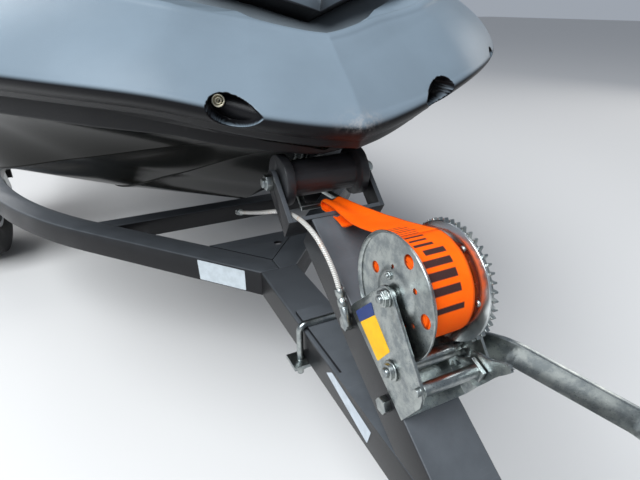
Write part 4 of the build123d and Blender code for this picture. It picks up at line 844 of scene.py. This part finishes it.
def sheetBetween(name, table, profile, slot, probe):
    # an open sheet between the two edges that a table gives, its seen side towards the probe
    edgesAt, knots = tableCurve(table)
    rows = []
    for t in spread(0, knots[-1], 8) + [knots[-1]]:
        values = edgesAt(t)[0]
        near, far = Vector(values[:3]), Vector(values[3:])
        row = [near + (far - near) * share + Vector((0, aft, up)) for share, aft, up in profile]
        rows.append([place(0.0 if t == 0 else p.x, p.y, p.z) for p in row])
    return outward(skin(name, rows, slot), probe)


valley = sheetBetween("valley", valleyTable, valleyProfile, "valley_grey", place(0, -300, 400))
finishPiece(valley, bodyOf["front_cowl"])
hoodUnder = sheetBetween("hoodUnder", underTable, underProfile, "trim_black", place(0, 0, 0))
finishPiece(hoodUnder, bodyOf["front_cowl"])

# Block that clears the CAD deck away above the valley and under the hood
valleyAt, valleyKnots = tableCurve(valleyTable)
blockRows = []
for t in spread(0, valleyKnots[5], 12) + [valleyKnots[5]]:
    nearX, nearY, nearZ, farX, farY, farZ = valleyAt(t)[0]
    # away from the bow the block's edge draws back from the lip
    drawn = 0.75 * max(0, min(1, (t - valleyKnots[2]) / (valleyKnots[4] - valleyKnots[2])))
    edgeX, edgeY = nearX + (farX - nearX) * drawn, nearY - 4 + (farY - nearY + 4) * drawn
    backX, backY = farX * 0.7, farY + 90 - farX / 4
    blockRows.append([place(*spot) for spot in (
        (edgeX, edgeY, nearZ - 16), (farX, farY, farZ - 12), (backX, backY, farZ - 12),
        (backX, backY, farZ + 90), (edgeX, edgeY, nearZ + 90))])
valleyBlock = skin("valleyBlock", blockRows, "trim_black", closed=True)
shape = bmesh.new()
shape.from_mesh(valleyBlock.data)
bmesh.ops.holes_fill(shape, edges=shape.edges, sides=0)
bmesh.ops.recalc_face_normals(shape, faces=shape.faces)
toMesh(shape, valleyBlock.data)
bpy.context.scene.collection.objects.unlink(valleyBlock)

deckBody = newObject("deckBody", tucked(merged("deck")), "deck_grey")
openedBy(deckBody, valleyBlock, *recessBlocks)
rounded(deckBody, 2.0)
finishPiece(deckBody, bodyOf["deck"], ("deck",))
dropped(valleyBlock, *recessBlocks)

# Hood: rolled low edge, round side, and a top that runs out flat to a crease at the bow
creaseLength = 260
hoodAt, hoodKnots = tableCurve([(row[0], 0) + row[1:] for row in hoodTable])
hoodRows = []
for t in spread(0, 60, 3) + spread(60, hoodKnots[-1], 16) + [hoodKnots[-1]]:
    y, flat, lowX, lowZ, sideX, sideZ, topX, topZ, ridgeX, ridgeZ = hoodAt(t)[0]
    crease = 0.5 * max(0.0, 1 - (y - hoodTable[0][0]) / creaseLength)
    low, side = Vector((lowX, lowZ)), Vector((sideX, sideZ))
    top, ridge = Vector((topX, topZ)), Vector((0, ridgeZ))
    half = (side + top) / 2
    row = [low + Vector((-min(3, lowX), -1.5)), low + Vector((-min(0.8, lowX), -0.6)), low]
    row += quadratic(low, side, half, 12)
    for k, bend in enumerate(quadratic(half, top, ridge, 12), 1):
        row.append(bend.lerp(half + (ridge - half) * k / 12, crease))
    hoodRows.append([place(p.x, y, p.y) for p in row])
back = [Vector((p.x * 0.94, p.y + 0.012, p.z - 0.008)) for p in hoodRows[-1]]
middle = Vector((0, back[0].y, (back[0].z + back[-1].z) / 2))
halfway = [Vector((p.x * 0.5, p.y + 0.006, (p.z + middle.z) / 2)) for p in back]
hoodRows += [back, halfway, [middle] * len(back)]
hood = skin("hood", hoodRows, "cowl_grey")
outward(hood, place(0, -300, 500))
finishPiece(hood, bodyOf["front_cowl"], ("front_cowl",))


# Rub band under the deck, drawn back where the bow overhangs
band = {"inset": 17, "bowInset": 75, "bowLength": 330, "height": 27, "width": 60}
low = -deck["skirtHeight"] - band["height"]
# Columns: height from the widest line, distance inboard
bandProfile = [(-29, 0), (low + 3, 2), (low + 0.8, 2.8), (low, 4.5), (low, band["width"])]
bandRows = []
for t in (spread(0, sideEnd, 12) + spread(sideEnd, cornerStart, 80) + spread(cornerStart, sternEnd, 20)
          + [sternEnd]):
    inset = band["inset"] + (band["bowInset"] - band["inset"]) * max(0, 1 - t / band["bowLength"]) ** 1.5
    level = rimStation(t)[3][0]
    bandRows.append([place(*rimPoint(t, -deck["skirtHeight"] + 0.01, inset + extra)[:2], level + rise)
                     for rise, extra in bandProfile])
rubBand = skin("rubBand", bandRows, "trim_black")
outward(rubBand, place(0, -200, 0))
finishPiece(rubBand, bodyOf["rub_band"], ("rub_band",))


# Hull: smooth between its stations, with two hard chines
# Columns: y, keel z, strake x, z, chine x, z, top x
hullTable = [
    (190, 92, 24, 97, 53, 104, 101), (300, 36, 71, 62, 130, 84, 264), (450, -45, 150, 0, 285, 44, 400),
    (650, -131, 240, -64, 425, 0, 500), (1000, -135, 300, -52.5, 480, 0, 540), (1300, -135, 320, -47, 500, 0, 546),
    (2850, -135, 320, -47, 500, 0, 546),
]
# Columns: y, height of the deck's low edge
edgeTable = [(50, 85), (130, 103), (182, 115), (225, 131), (262, 143), (331, 149), (480, 155), (3300, 155)]


def edgeHeight(y):
    for (y0, z0), (y1, z1) in zip(edgeTable, edgeTable[1:]):
        if y <= y1:
            return z0 + (z1 - z0) * (y - y0) / (y1 - y0)
    return edgeTable[-1][1]


def hullStation(y):
    # monotone cubic through the table's rows
    k = 0
    while k < len(hullTable) - 2 and y > hullTable[k + 1][0]:
        k += 1
    a, b = hullTable[k], hullTable[k + 1]
    span = b[0] - a[0]
    u = (y - a[0]) / span
    out = []
    for c in range(1, 7):
        slope = (b[c] - a[c]) / span
        before, after = slope, slope
        if k:
            before = (a[c] - hullTable[k - 1][c]) / (a[0] - hullTable[k - 1][0])
        if k + 2 < len(hullTable):
            after = (hullTable[k + 2][c] - b[c]) / (hullTable[k + 2][0] - b[0])
        m0 = 2 * before * slope / (before + slope) if before * slope > 0 else 0
        m1 = 2 * after * slope / (after + slope) if after * slope > 0 else 0
        out.append((2 * u ** 3 - 3 * u * u + 1) * a[c] + (u ** 3 - 2 * u * u + u) * span * m0
                   + (3 * u * u - 2 * u ** 3) * b[c] + (u ** 3 - u * u) * span * m1)
    return out


def hullColumn(y):
    keel, strakeX, strakeZ, chineX, chineZ, topX = hullStation(y)
    limit = edgeHeight(y) - 26
    corners = [Vector((0, keel)), Vector((strakeX, strakeZ)), Vector((chineX, chineZ)), Vector((topX, 128))]
    line = []
    # Columns: points along the stretch, width of its spray rail
    for (count, rail), a, b in zip(((8, 7), (8, 7), (14, 0)), corners, corners[1:]):
        line += [a + (b - a) * j / count for j in range(count)]
        if rail:
            # a narrow spray rail stands out along the strake and the chine
            across = (b - a).normalized()
            size = rail * min(1, max(0, (y - 260) / 500))
            line.append(b - across * size * 0.2 + Vector((across.y, -across.x)) * size * 0.5)
    line.append(corners[-1])
    # past the deck's low edge every point stays where the side meets it
    clipped, last = [], None
    for p, q in zip([line[0]] + line, line):
        if last is None and q.y > limit:
            share = max(0.0, min(1.0, (limit - p.y) / (q.y - p.y))) if q.y > p.y else 0.0
            last = p + (q - p) * share
        clipped.append(q if last is None else last)
    clipped.append(Vector((0, min(limit, clipped[-1].y))))
    return [place(p.x, y, p.y) for p in clipped]


hullPlaces = spread(192, 300, 4) + spread(300, 760, 12) + spread(760, 2850, 70) + [2850]
hullRows = [hullColumn(y) for y in hullPlaces]
# the transom closes on a point of the centreline
hullRows.append([Vector((0, hullRows[-1][0].y, drumZ / 1000))] * len(hullRows[-1]))
hull = skin("hullSkin", hullRows, "hull_black")
tunnelBlock = cutter(place(0, 2725, -35), (240, 300, 210))
openedBy(hull, tunnelBlock)
rounded(hull, 2.5, 2, 22)
finishPiece(hull, bodyOf["hull"], ("hull",))
dropped(tunnelBlock)
print("craft's shells done")

# Pieces whose CAD shape only needs its edges rounded
# Columns: node, width of the rounding in mm
softTable = [
    ("frame_rail_left", 3), ("frame_rail_right", 3), ("drawbar", 3), ("winch_post", 2.5),
    ("frame_plates", 1.2), ("cross_members", 2.5), ("bunk_posts", 2), ("roller_bracket", 1.2), ("winch_frame", 0.7),
    ("winch_bolts", 0.5), ("frame_bolts", 0.6), ("clamp_bolt", 0.6), ("cable_fittings", 0.5),
    ("winch_hook", 1.2), ("crank", 0.8), ("pawl", 0.5), ("bunks", 5), ("guard_brackets", 1), ("lamp_board", 1.5),
    ("ride_plate", 2), ("sponsons", 4), ("axle_beam", 2), ("suspension_arms", 1.5), ("jockey_clamp", 0.8),
    ("footwell_mats", 1), ("steering_column", 5), ("coupling_lever", 1.5), ("bow_roller", 1.5), ("engine", 4),
    ("tail_lamps", 2.5), ("jockey_tube", 1), ("jockey_fork", 1), ("jockey_wheel", 1.5), ("coupling_head", 2),
    ("mudguards", 1), ("handlebar", 2), ("grips", 1.2), ("grab_handle", 3), ("jet_pump", 1.2), ("impeller", 0.5),
    ("steering_nozzle", 0.8), ("reverse_bucket", 1.2), ("bow_eye", 1), ("crank_grip", 1.5), ("rim_left", 1),
    ("rim_right", 1), ("tyre_left", 2), ("tyre_right", 2),
]
for name, width in softTable:
    softened(name, width)
print("edges done")

# Strap: a loose roll on the drum and the run up to the hook
strap = {"low": -28.0, "width": 48.0, "thick": 1.8, "across": 16, "uneven": 0.25, "wander": 0.4}
roll = {"top": 54.6, "below": 45.5, "hub": 21, "side": 44.4, "inset": 0.8, "gap": 2.1, "turns": 3, "steps": 149,
        "start": radians(-10.7), "ease": radians(190)}
run = {"startY": 10.2, "startZ": 53.7, "hookY": 200, "hookZ": 18.0, "sag": 12, "foldRadius": 5.5, "tail": 70,
       "tailRise": 7, "printFrom": 118}


def ribbon(name, path, widths, slot, body, replaced, start=0.0):
    # a band of webbing along a path of (y, z) in mm, widths giving its two edges in x at each point
    shape = bmesh.new()
    web = shape.loops.layers.uv.new("web")
    half, across = strap["thick"] / 2, strap["across"]
    along = [start]
    for a, b in zip(path, path[1:]):
        along.append(along[-1] + hypot(b[0] - a[0], b[1] - a[1]))
    rings = []
    for k, (y, z) in enumerate(path):
        a, b = path[max(k - 1, 0)], path[min(k + 1, len(path) - 1)]
        run = Vector((b[0] - a[0], b[1] - a[1])).normalized()
        up = Vector((-run.y, run.x))
        low, high, ripple = widths(along[k] - start)
        ring = []
        # over the upper face and back under the lower one
        for face, order in ((half, range(across + 1)), (-half, range(across, -1, -1))):
            for u in [j / across for j in order]:
                uneven = strap["uneven"] * noise.noise(Vector((u * 3, along[k] / 22, 3)))
                ring.append((low + (high - low) * u, ripple * sin(u * 2.6 * pi) + uneven + face, u))
        edge = strap["wander"] * noise.noise(Vector((along[k] / 14, 7, 1)))
        rings.append([(shape.verts.new(place(x + edge, y + up.x * off, z + up.y * off)), u)
                      for x, off, u in ring])
    count = len(rings[0])
    for k in range(len(rings) - 1):
        for j in range(count):
            n = (j + 1) % count
            quad = [(rings[k][j], k), (rings[k][n], k), (rings[k + 1][n], k + 1), (rings[k + 1][j], k + 1)]
            face = shape.faces.new([q[0][0] for q in quad])
            face.smooth = True
            for loop, ((vert, u), at) in zip(face.loops, quad):
                loop[web].uv = (u * strap["width"] / 1000, along[at] / 1000)
    for ring in (rings[0], rings[-1]):
        shape.faces.new([v for v, u in ring])
    bmesh.ops.recalc_face_normals(shape, faces=shape.faces)
    piece = newObject(name, toMesh(shape, name), slot)
    return finishPiece(piece, body, replaced)


def rollRadius(turned):
    # the outer turn eases down, and each turn under it lies closer
    share = max(0.0, 1 - turned / roll["ease"])
    radius = roll["below"] + (roll["top"] - roll["below"]) * share ** 1.15
    return radius - roll["gap"] * max(0, turned - pi) / (2 * pi)


# the roll, from its innermost turn out to where the run leaves it
rollPath = []
for k in range(roll["steps"] + 1):
    turned = 2 * pi * roll["turns"] * (roll["steps"] - k) / roll["steps"]
    turn, radius = roll["start"] + turned, rollRadius(turned)
    rollPath.append((-radius * sin(turn), radius * cos(turn)))
turnLength = sum(hypot(b[0] - a[0], b[1] - a[1]) for a, b in zip(rollPath, rollPath[1:]))


def rollWidths(at):
    return strap["low"] + 0.3, strap["low"] + strap["width"], 0.0


# v goes on from the roll to the run, so that the printed bars lie over the drum
ribbon("strapRoll", rollPath, rollWidths, "strap_orange", bodyOf["strap_roll"], ("strap_roll",),
       run["printFrom"] - turnLength)
farSide = strap["width"] - roll["inset"]
coreProfile = [(roll["inset"], roll["hub"]), (roll["inset"], roll["side"]), (farSide, roll["side"]),
               (farSide, roll["hub"])]
rollCore = lathe("rollCore", coreProfile, place(strap["low"], 0, 0), (1, 0, 0), "strap_orange", 72)
finishPiece(rollCore, bodyOf["strap_roll"])

# the run sags a little, bunches at the hook and folds back under itself
runPath = []
for u in [k / 24 for k in range(25)]:
    runPath.append((run["startY"] + (run["hookY"] - run["startY"]) * u,
                    run["startZ"] + (run["hookZ"] - run["startZ"]) * u - run["sag"] * u * (1 - u)))
for turn in [pi * k / 9 for k in range(1, 10)]:
    runPath.append((run["hookY"] + run["foldRadius"] * sin(turn),
                    run["hookZ"] + run["foldRadius"] * (cos(turn) - 1)))
for u in [k / 7 for k in range(1, 8)]:
    runPath.append((run["hookY"] - run["tail"] * u,
                    run["hookZ"] - 2 * run["foldRadius"] + run["tailRise"] * u))


def runWidths(at):
    # full width until near the hook, where it bunches towards port
    share = max(0.0, min(1.0, (min(at, 410 - at) - 60) / 130))
    share = share * share * (3 - 2 * share)
    return strap["low"] + 0.3 + 20 * share, strap["low"] + strap["width"] - 1.5 * share, 1.6 * share


ribbon("strapRun", runPath, runWidths, "strap_orange", bodyOf["strap_run"], ("strap_run",), run["printFrom"])
print("strap done")

# Starboard flange: rolled rim, pressed middle, holes as in the photograph
flange = {"x": -30.0, "keptPast": 1.4}
# Columns: y, z, radius of each hole
flangeHoles = [(35.8, 12.4, 6.2), (-15.4, 43.5, 7.0), (-46.3, 0.0, 7.0), (-27.9, 20.2, 3.0), (-18.9, -23.2, 2.4),
               (-30.2, -15.6, 2.4), (7.4, 27.2, 2.2), (20, -40, 6.6)]
# Columns: distance outboard, radius
flangeProfile = [(0, 6), (2.6, 8), (2.6, 22), (1.6, 25.5), (0.2, 28.5), (0, 31), (0, 59.5), (0.6, 61.4), (1.8, 62.8),
                 (3.2, 63.4), (4.0, 63.0), (4.2, 62.2), (3.4, 61.8), (2.2, 61.2), (1.2, 60), (-0.6, 59.8),
                 (-1.6, 59.5), (-1.6, 31.5), (-1.4, 29), (-0.2, 26), (1.0, 22), (1.0, 6), (0, 6)]
flangeDisc = lathe("flangeDisc", flangeProfile, place(flange["x"], 0, 0), (-1, 0, 0), "zinc", 96)
holes = [bpy.data.objects.new("hole", rod("hole", place(flange["x"], y, z), (1, 0, 0), radius, 20))
         for y, z, radius in flangeHoles]
openedBy(flangeDisc, *holes)
rounded(flangeDisc, 0.25, 2, 40)
finishPiece(flangeDisc, bodyOf["winch_drum"])
dropped(*holes)

# the CAD drum without its starboard flange
drumBody = newObject("drumBody", merged("winch_drum"), "zinc")
offCut = cutter(place(flange["x"] - 10 + flange["keptPast"], 0, 0), (20, 150, 150))
openedBy(drumBody, offCut)
rounded(drumBody, 0.5)
finishPiece(drumBody, bodyOf["winch_drum"], ("winch_drum",))
dropped(offCut)

# Polished inner face of the port ring
ring = {"x": 28.0, "dish": 3.6, "inner": 45.0, "outer": 60.6}
# Columns: distance inboard, radius
ringProfile = [(ring["dish"], 20), (ring["dish"], ring["inner"]), (0.3, ring["outer"]), (0.0, 61.1), (-1.6, 61.2),
               (-2.4, 60.6), (-2.4, 20)]
ringFace = lathe("ringFace", ringProfile, place(ring["x"], 0, 0), (-1, 0, 0), "zinc_bright", 96)
finishPiece(ringFace, bodyOf["winch_drum"])

# Rivets on the port ring, each set on a point of its own by one tree
# Columns: input, socket's kind, value in metres
rivetInputs = [("Shank Radius", "Float", 0.0034), ("Edge Radius", "Float", 0.0032),
               ("Crown Radius", "Float", 0.0022), ("Sides", "Int", 20), ("Finish", "Material", materials["zinc"])]
# Columns: lower radius's input, upper radius's input, foot's height above the seat, depth
rivetParts = [("Shank Radius", "Edge Radius", -0.0010, 0.0018), ("Edge Radius", "Crown Radius", 0.0008, 0.0007),
              ("Crown Radius", None, 0.0015, 0.0002)]
rivetTree = bpy.data.node_groups.new("rivetHeads", "GeometryNodeTree")
rivetTree.interface.new_socket("Points", in_out="INPUT", socket_type="NodeSocketGeometry")
rivetTree.interface.new_socket("Heads", in_out="OUTPUT", socket_type="NodeSocketGeometry")
rivetSockets = {label: rivetTree.interface.new_socket(label, in_out="INPUT", socket_type="NodeSocket" + kind)
                for label, kind, value in rivetInputs}
given = rivetTree.nodes.new("NodeGroupInput").outputs
joined = rivetTree.nodes.new("GeometryNodeJoinGeometry")
for lower, upper, foot, depth in rivetParts:
    sizes = {"Vertices": given["Sides"], "Radius Bottom": given[lower], "Depth": depth,
             "Radius Top": given[upper] if upper else 0.0}
    cone = addNode(rivetTree, "GeometryNodeMeshCone", sizes, fill_type="NONE")
    lifted = addNode(rivetTree, "GeometryNodeTransform", {"Geometry": cone.outputs["Mesh"],
                                                          "Translation": (0, 0, foot)})
    rivetTree.links.new(lifted.outputs[0], joined.inputs[0])
whole = addNode(rivetTree, "GeometryNodeMergeByDistance", {"Geometry": joined.outputs[0], "Distance": 2e-6})
heads = addNode(rivetTree, "GeometryNodeInstanceOnPoints", {
    "Points": given["Points"], "Instance": whole.outputs[0], "Rotation": (0, -pi / 2, 0)})
real = addNode(rivetTree, "GeometryNodeRealizeInstances", {"Geometry": heads.outputs[0]})
smooth = addNode(rivetTree, "GeometryNodeSetShadeSmooth", {"Geometry": real.outputs[0]})
coated = addNode(rivetTree, "GeometryNodeSetMaterial", {"Geometry": smooth.outputs[0], "Material": given["Finish"]})
rivetTree.links.new(coated.outputs[0], rivetTree.nodes.new("NodeGroupOutput").inputs[0])
# Columns: y, z
rivetTable = [(-20.2, 45.5), (-48.4, 3.9), (-21.6, -40.8), (38, 30), (30, -38)]
for k, (y, z) in enumerate(rivetTable):
    dished = ring["dish"] * (ring["outer"] - hypot(y, z)) / (ring["outer"] - ring["inner"])
    mesh = bpy.data.meshes.new(f"rivet_{k}")
    mesh.from_pydata([place(ring["x"] - dished, y, z)], [], [])
    rivet = newObject(f"rivet_{k}", mesh, "zinc")
    setter = rivet.modifiers.new("heads", "NODES")
    setter.node_group = rivetTree
    for label, kind, value in rivetInputs:
        setter[rivetSockets[label].identifier] = value
    finishPiece(rivet, bodyOf["winch_drum"])

# Hexagon heads with their washers and thread ends, all facing starboard
# Columns: name, node, place, washer's radius and thickness, head's radius and height, thread's radius and
# its height past the head
hexTable = [
    ("axleCollar", "winch_bolts", (-32.5, 0, 0), 7.8, 7.0, 0, 0, 0, 0),
    ("axleNut", "winch_bolts", (-40.2, 0, 0), 9.0, 1.8, 7.2, 5.4, 4.0, 2.4),
    ("ropeClamp", "winch_drum", (-31.8, 8.0, 18.1), 0, 0, 4.6, 3.2, 2.2, 1.8),
    ("shaftNut", "crank", (-40.2, -17.9, -73.4), 10.6, 1.8, 7.0, 4.0, 4.6, 3.0),
]
outboard = Vector((-1, 0, 0))
for name, node, spot, washer, thick, head, high, stub, past in hexTable:
    parts = []
    centre = place(*spot)
    seatOn = centre + outboard * thick / 1000
    if washer:
        profile = [(0, 0), (0, washer), (thick - 0.4, washer), (thick, washer - 0.4), (thick, 0)]
        parts.append(lathe(name + "Washer", profile, centre, outboard, "zinc", 40))
    if head:
        hexagon = rod(name, seatOn + outboard * high / 2000, outboard, head, high, 6)
        parts.append(newObject(name, hexagon, "zinc"))
        rounded(parts[-1], 0.7, 2, 30)
        top = high + past
        profile = [(0, stub), (top - 0.6, stub), (top, stub - 0.6), (top, 0)]
        parts.append(lathe(name + "Stub", profile, seatOn, outboard, "zinc", 28))
    for part in parts:
        finishPiece(part, bodyOf[node])

# Labels: thin plates with rounded corners, left blank
label = {"radius": 2.0, "lift": 0.35, "sunk": 0.2}
# Columns: name, finish, node, four corners in order
labelTable = [
    ("paper_rail", "paper", "frame_rail_right", (
        (-125.4, 496.0, -186.0), (-57.5, 417.8, -186.6), (-57.5, 417.8, -228.0), (-124.0, 494.4, -228.0))),
    ("reflective_bar", "reflective", "drawbar", (
        (-35.0, 131.5, -200.0), (-35.0, 116.0, -187.5), (-35.0, 17.2, -197.0), (-35.0, 23.8, -221.0))),
    ("yellow_plate", "yellow", "winch_frame", (
        (-40.0, 43.0, -56.0), (-40.0, 17.0, -30.5), (-40.0, -12.8, -54.4), (-40.0, 6.1, -80.2))),
    ("navy_plate", "navy", "winch_frame", (
        (-40.0, 53.2, -48.6), (-40.0, 25.2, -20.1), (-40.0, 17.6, -31.0), (-40.0, 43.6, -56.4))),
]
for name, finish, node, corners in labelTable:
    points = [place(*c) for c in corners]
    normal = (points[1] - points[0]).cross(points[3] - points[0]).normalized()
    if normal.x > 0:
        normal = -normal    # every label faces starboard
    outline = []
    for k, point in enumerate(points):
        a, b = (point + (points[n] - point).normalized() * label["radius"] / 1000
                for n in (k - 1, (k + 1) % 4))
        outline += [a] + quadratic(a, point, b, 5)
    shape = slab([p + normal * label["lift"] / 1000 for p in outline],
                 [p - normal * label["sunk"] / 1000 for p in outline])
    finishPiece(newObject(name, toMesh(shape, name), "label_" + finish), bodyOf[node])

# Pawl: a plate with a finger tab, on the pawl's own pin
pawlPlate = {"low": 29.5, "thick": 3.0, "corner": 2.5}
# Columns: y, z round the plate
pawlOutline = [(-48, -80), (-53, -88), (-61, -87), (-72, -71), (-81, -57), (-93, -44), (-96.5, -39), (-94, -35.5),
               (-87, -36.5), (-69, -47), (-58, -48), (-50, -50), (-46, -58)]
shape = slab(*[[place(x, y, z) for y, z in pawlOutline]
               for x in (pawlPlate["low"], pawlPlate["low"] + pawlPlate["thick"])])
corners = [e for e in shape.edges if abs(e.verts[0].co.x - e.verts[1].co.x) > 0.001]
bmesh.ops.bevel(shape, geom=corners, offset=pawlPlate["corner"] / 1000, segments=4, affect="EDGES")
pawl = newObject("pawlPlate", toMesh(shape, "pawlPlate"), "zinc")
rounded(pawl, 0.6, 2, 40)
finishPiece(pawl, bodyOf["pawl"])
print("winch done")

# Safety cable in its clear sleeve
cable = {"diameter": 0.006, "length": 0.372}
# Columns: x, y, z of the route's points
cableRoute = [(-45.5, 71, -52), (-46.5, 82, -30), (-48.5, 92, -14), (-51.5, 105, 1), (-54.5, 124, 14),
              (-56.5, 150, 19), (-56.5, 180, 16), (-55.5, 222, 6), (-61.5, 275, -16), (-61.5, 335, -40),
              (-61.5, 395, -62)]
curve = bpy.data.curves.new("safetyCable", "CURVE")
curve.dimensions = "3D"
curve.resolution_u = 16
curve.bevel_depth = cable["diameter"] / 2
curve.bevel_resolution = 6
curve.use_fill_caps = True
spline = curve.splines.new("NURBS")
spline.points.add(len(cableRoute) - 1)
for point, spot in zip(spline.points, cableRoute):
    point.co = (*place(*spot), 1)
spline.order_u = 3
spline.use_endpoint_u = True
curve.materials.append(materials["cable_clear"])
safetyCable = bpy.data.objects.new("safetyCable", curve)
bpy.context.scene.collection.objects.link(safetyCable)
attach(safetyCable, bodyOf["safety_cable"])
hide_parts("safety_cable")

# Crimped sleeve on the cable's low end
# Columns: distance along the cable, radius
crimpProfile = [(0, 3.1), (0, 5.2), (1, 5.6), (8, 5.6), (9, 4.7), (12, 4.7), (13, 5.6), (20, 5.6), (21, 5.0),
                (21, 3.1)]
onward = Vector(cableRoute[1]) - Vector(cableRoute[0])
crimp = lathe("crimp", crimpProfile, place(*cableRoute[0]), onward, "zinc", 24)
finishPiece(crimp, bodyOf["cable_fittings"])

# Seat: the CAD cushion, puffed a little
cushion = {"voxel": 0.008, "pressure": 4, "frames": 20, "kept": 0.3, "evening": 0.5, "rounds": 12}


def evaluatedMesh(obj):
    mesh = bpy.data.meshes.new_from_object(obj.evaluated_get(bpy.context.evaluated_depsgraph_get()))
    obj.modifiers.clear()
    return mesh


seat = newObject("seatCushion", merged("seat"), "seat_black")
skinned = seat.modifiers.new("skin", "REMESH")
skinned.mode = "VOXEL"
skinned.voxel_size = cushion["voxel"]
seat.data = evaluatedMesh(seat)
firmMesh = seat.data.copy()
puff = seat.modifiers.new("puff", "CLOTH")
puff.settings.use_pressure = True
puff.settings.uniform_pressure_force = cushion["pressure"]
puff.settings.effector_weights.gravity = 0
puff.point_cache.frame_start = 1
puff.point_cache.frame_end = cushion["frames"]
for step in range(1, cushion["frames"] + 1):
    bpy.context.scene.frame_set(step)
seat.data = evaluatedMesh(seat)
# firm foam: a third of the cloth's movement is kept, then evened out
for vert, firm in zip(seat.data.vertices, firmMesh.vertices):
    vert.co = firm.co.lerp(vert.co, cushion["kept"])
evened = seat.modifiers.new("evened", "SMOOTH")
evened.factor = cushion["evening"]
evened.iterations = cushion["rounds"]
bpy.context.scene.frame_set(1)
for face in seat.data.polygons:
    face.use_smooth = True
finishPiece(seat, bodyOf["seat"], ("seat",))
print("small parts done")

# Stage
floorMesh = bpy.data.meshes.new("floor")
floorMesh.from_pydata([(-30, -30, 0), (30, -30, 0), (30, 30, 0), (-30, 30, 0)], [], [(0, 1, 2, 3)])
floorPaint, tree, shader, where = newMaterial("floorPaint", 0.85)
shader.inputs["Base Color"].default_value = rgba(0.62, 0.61, 0.60)
materials["floorPaint"] = floorPaint
floor = newObject("floor", floorMesh, "floorPaint")
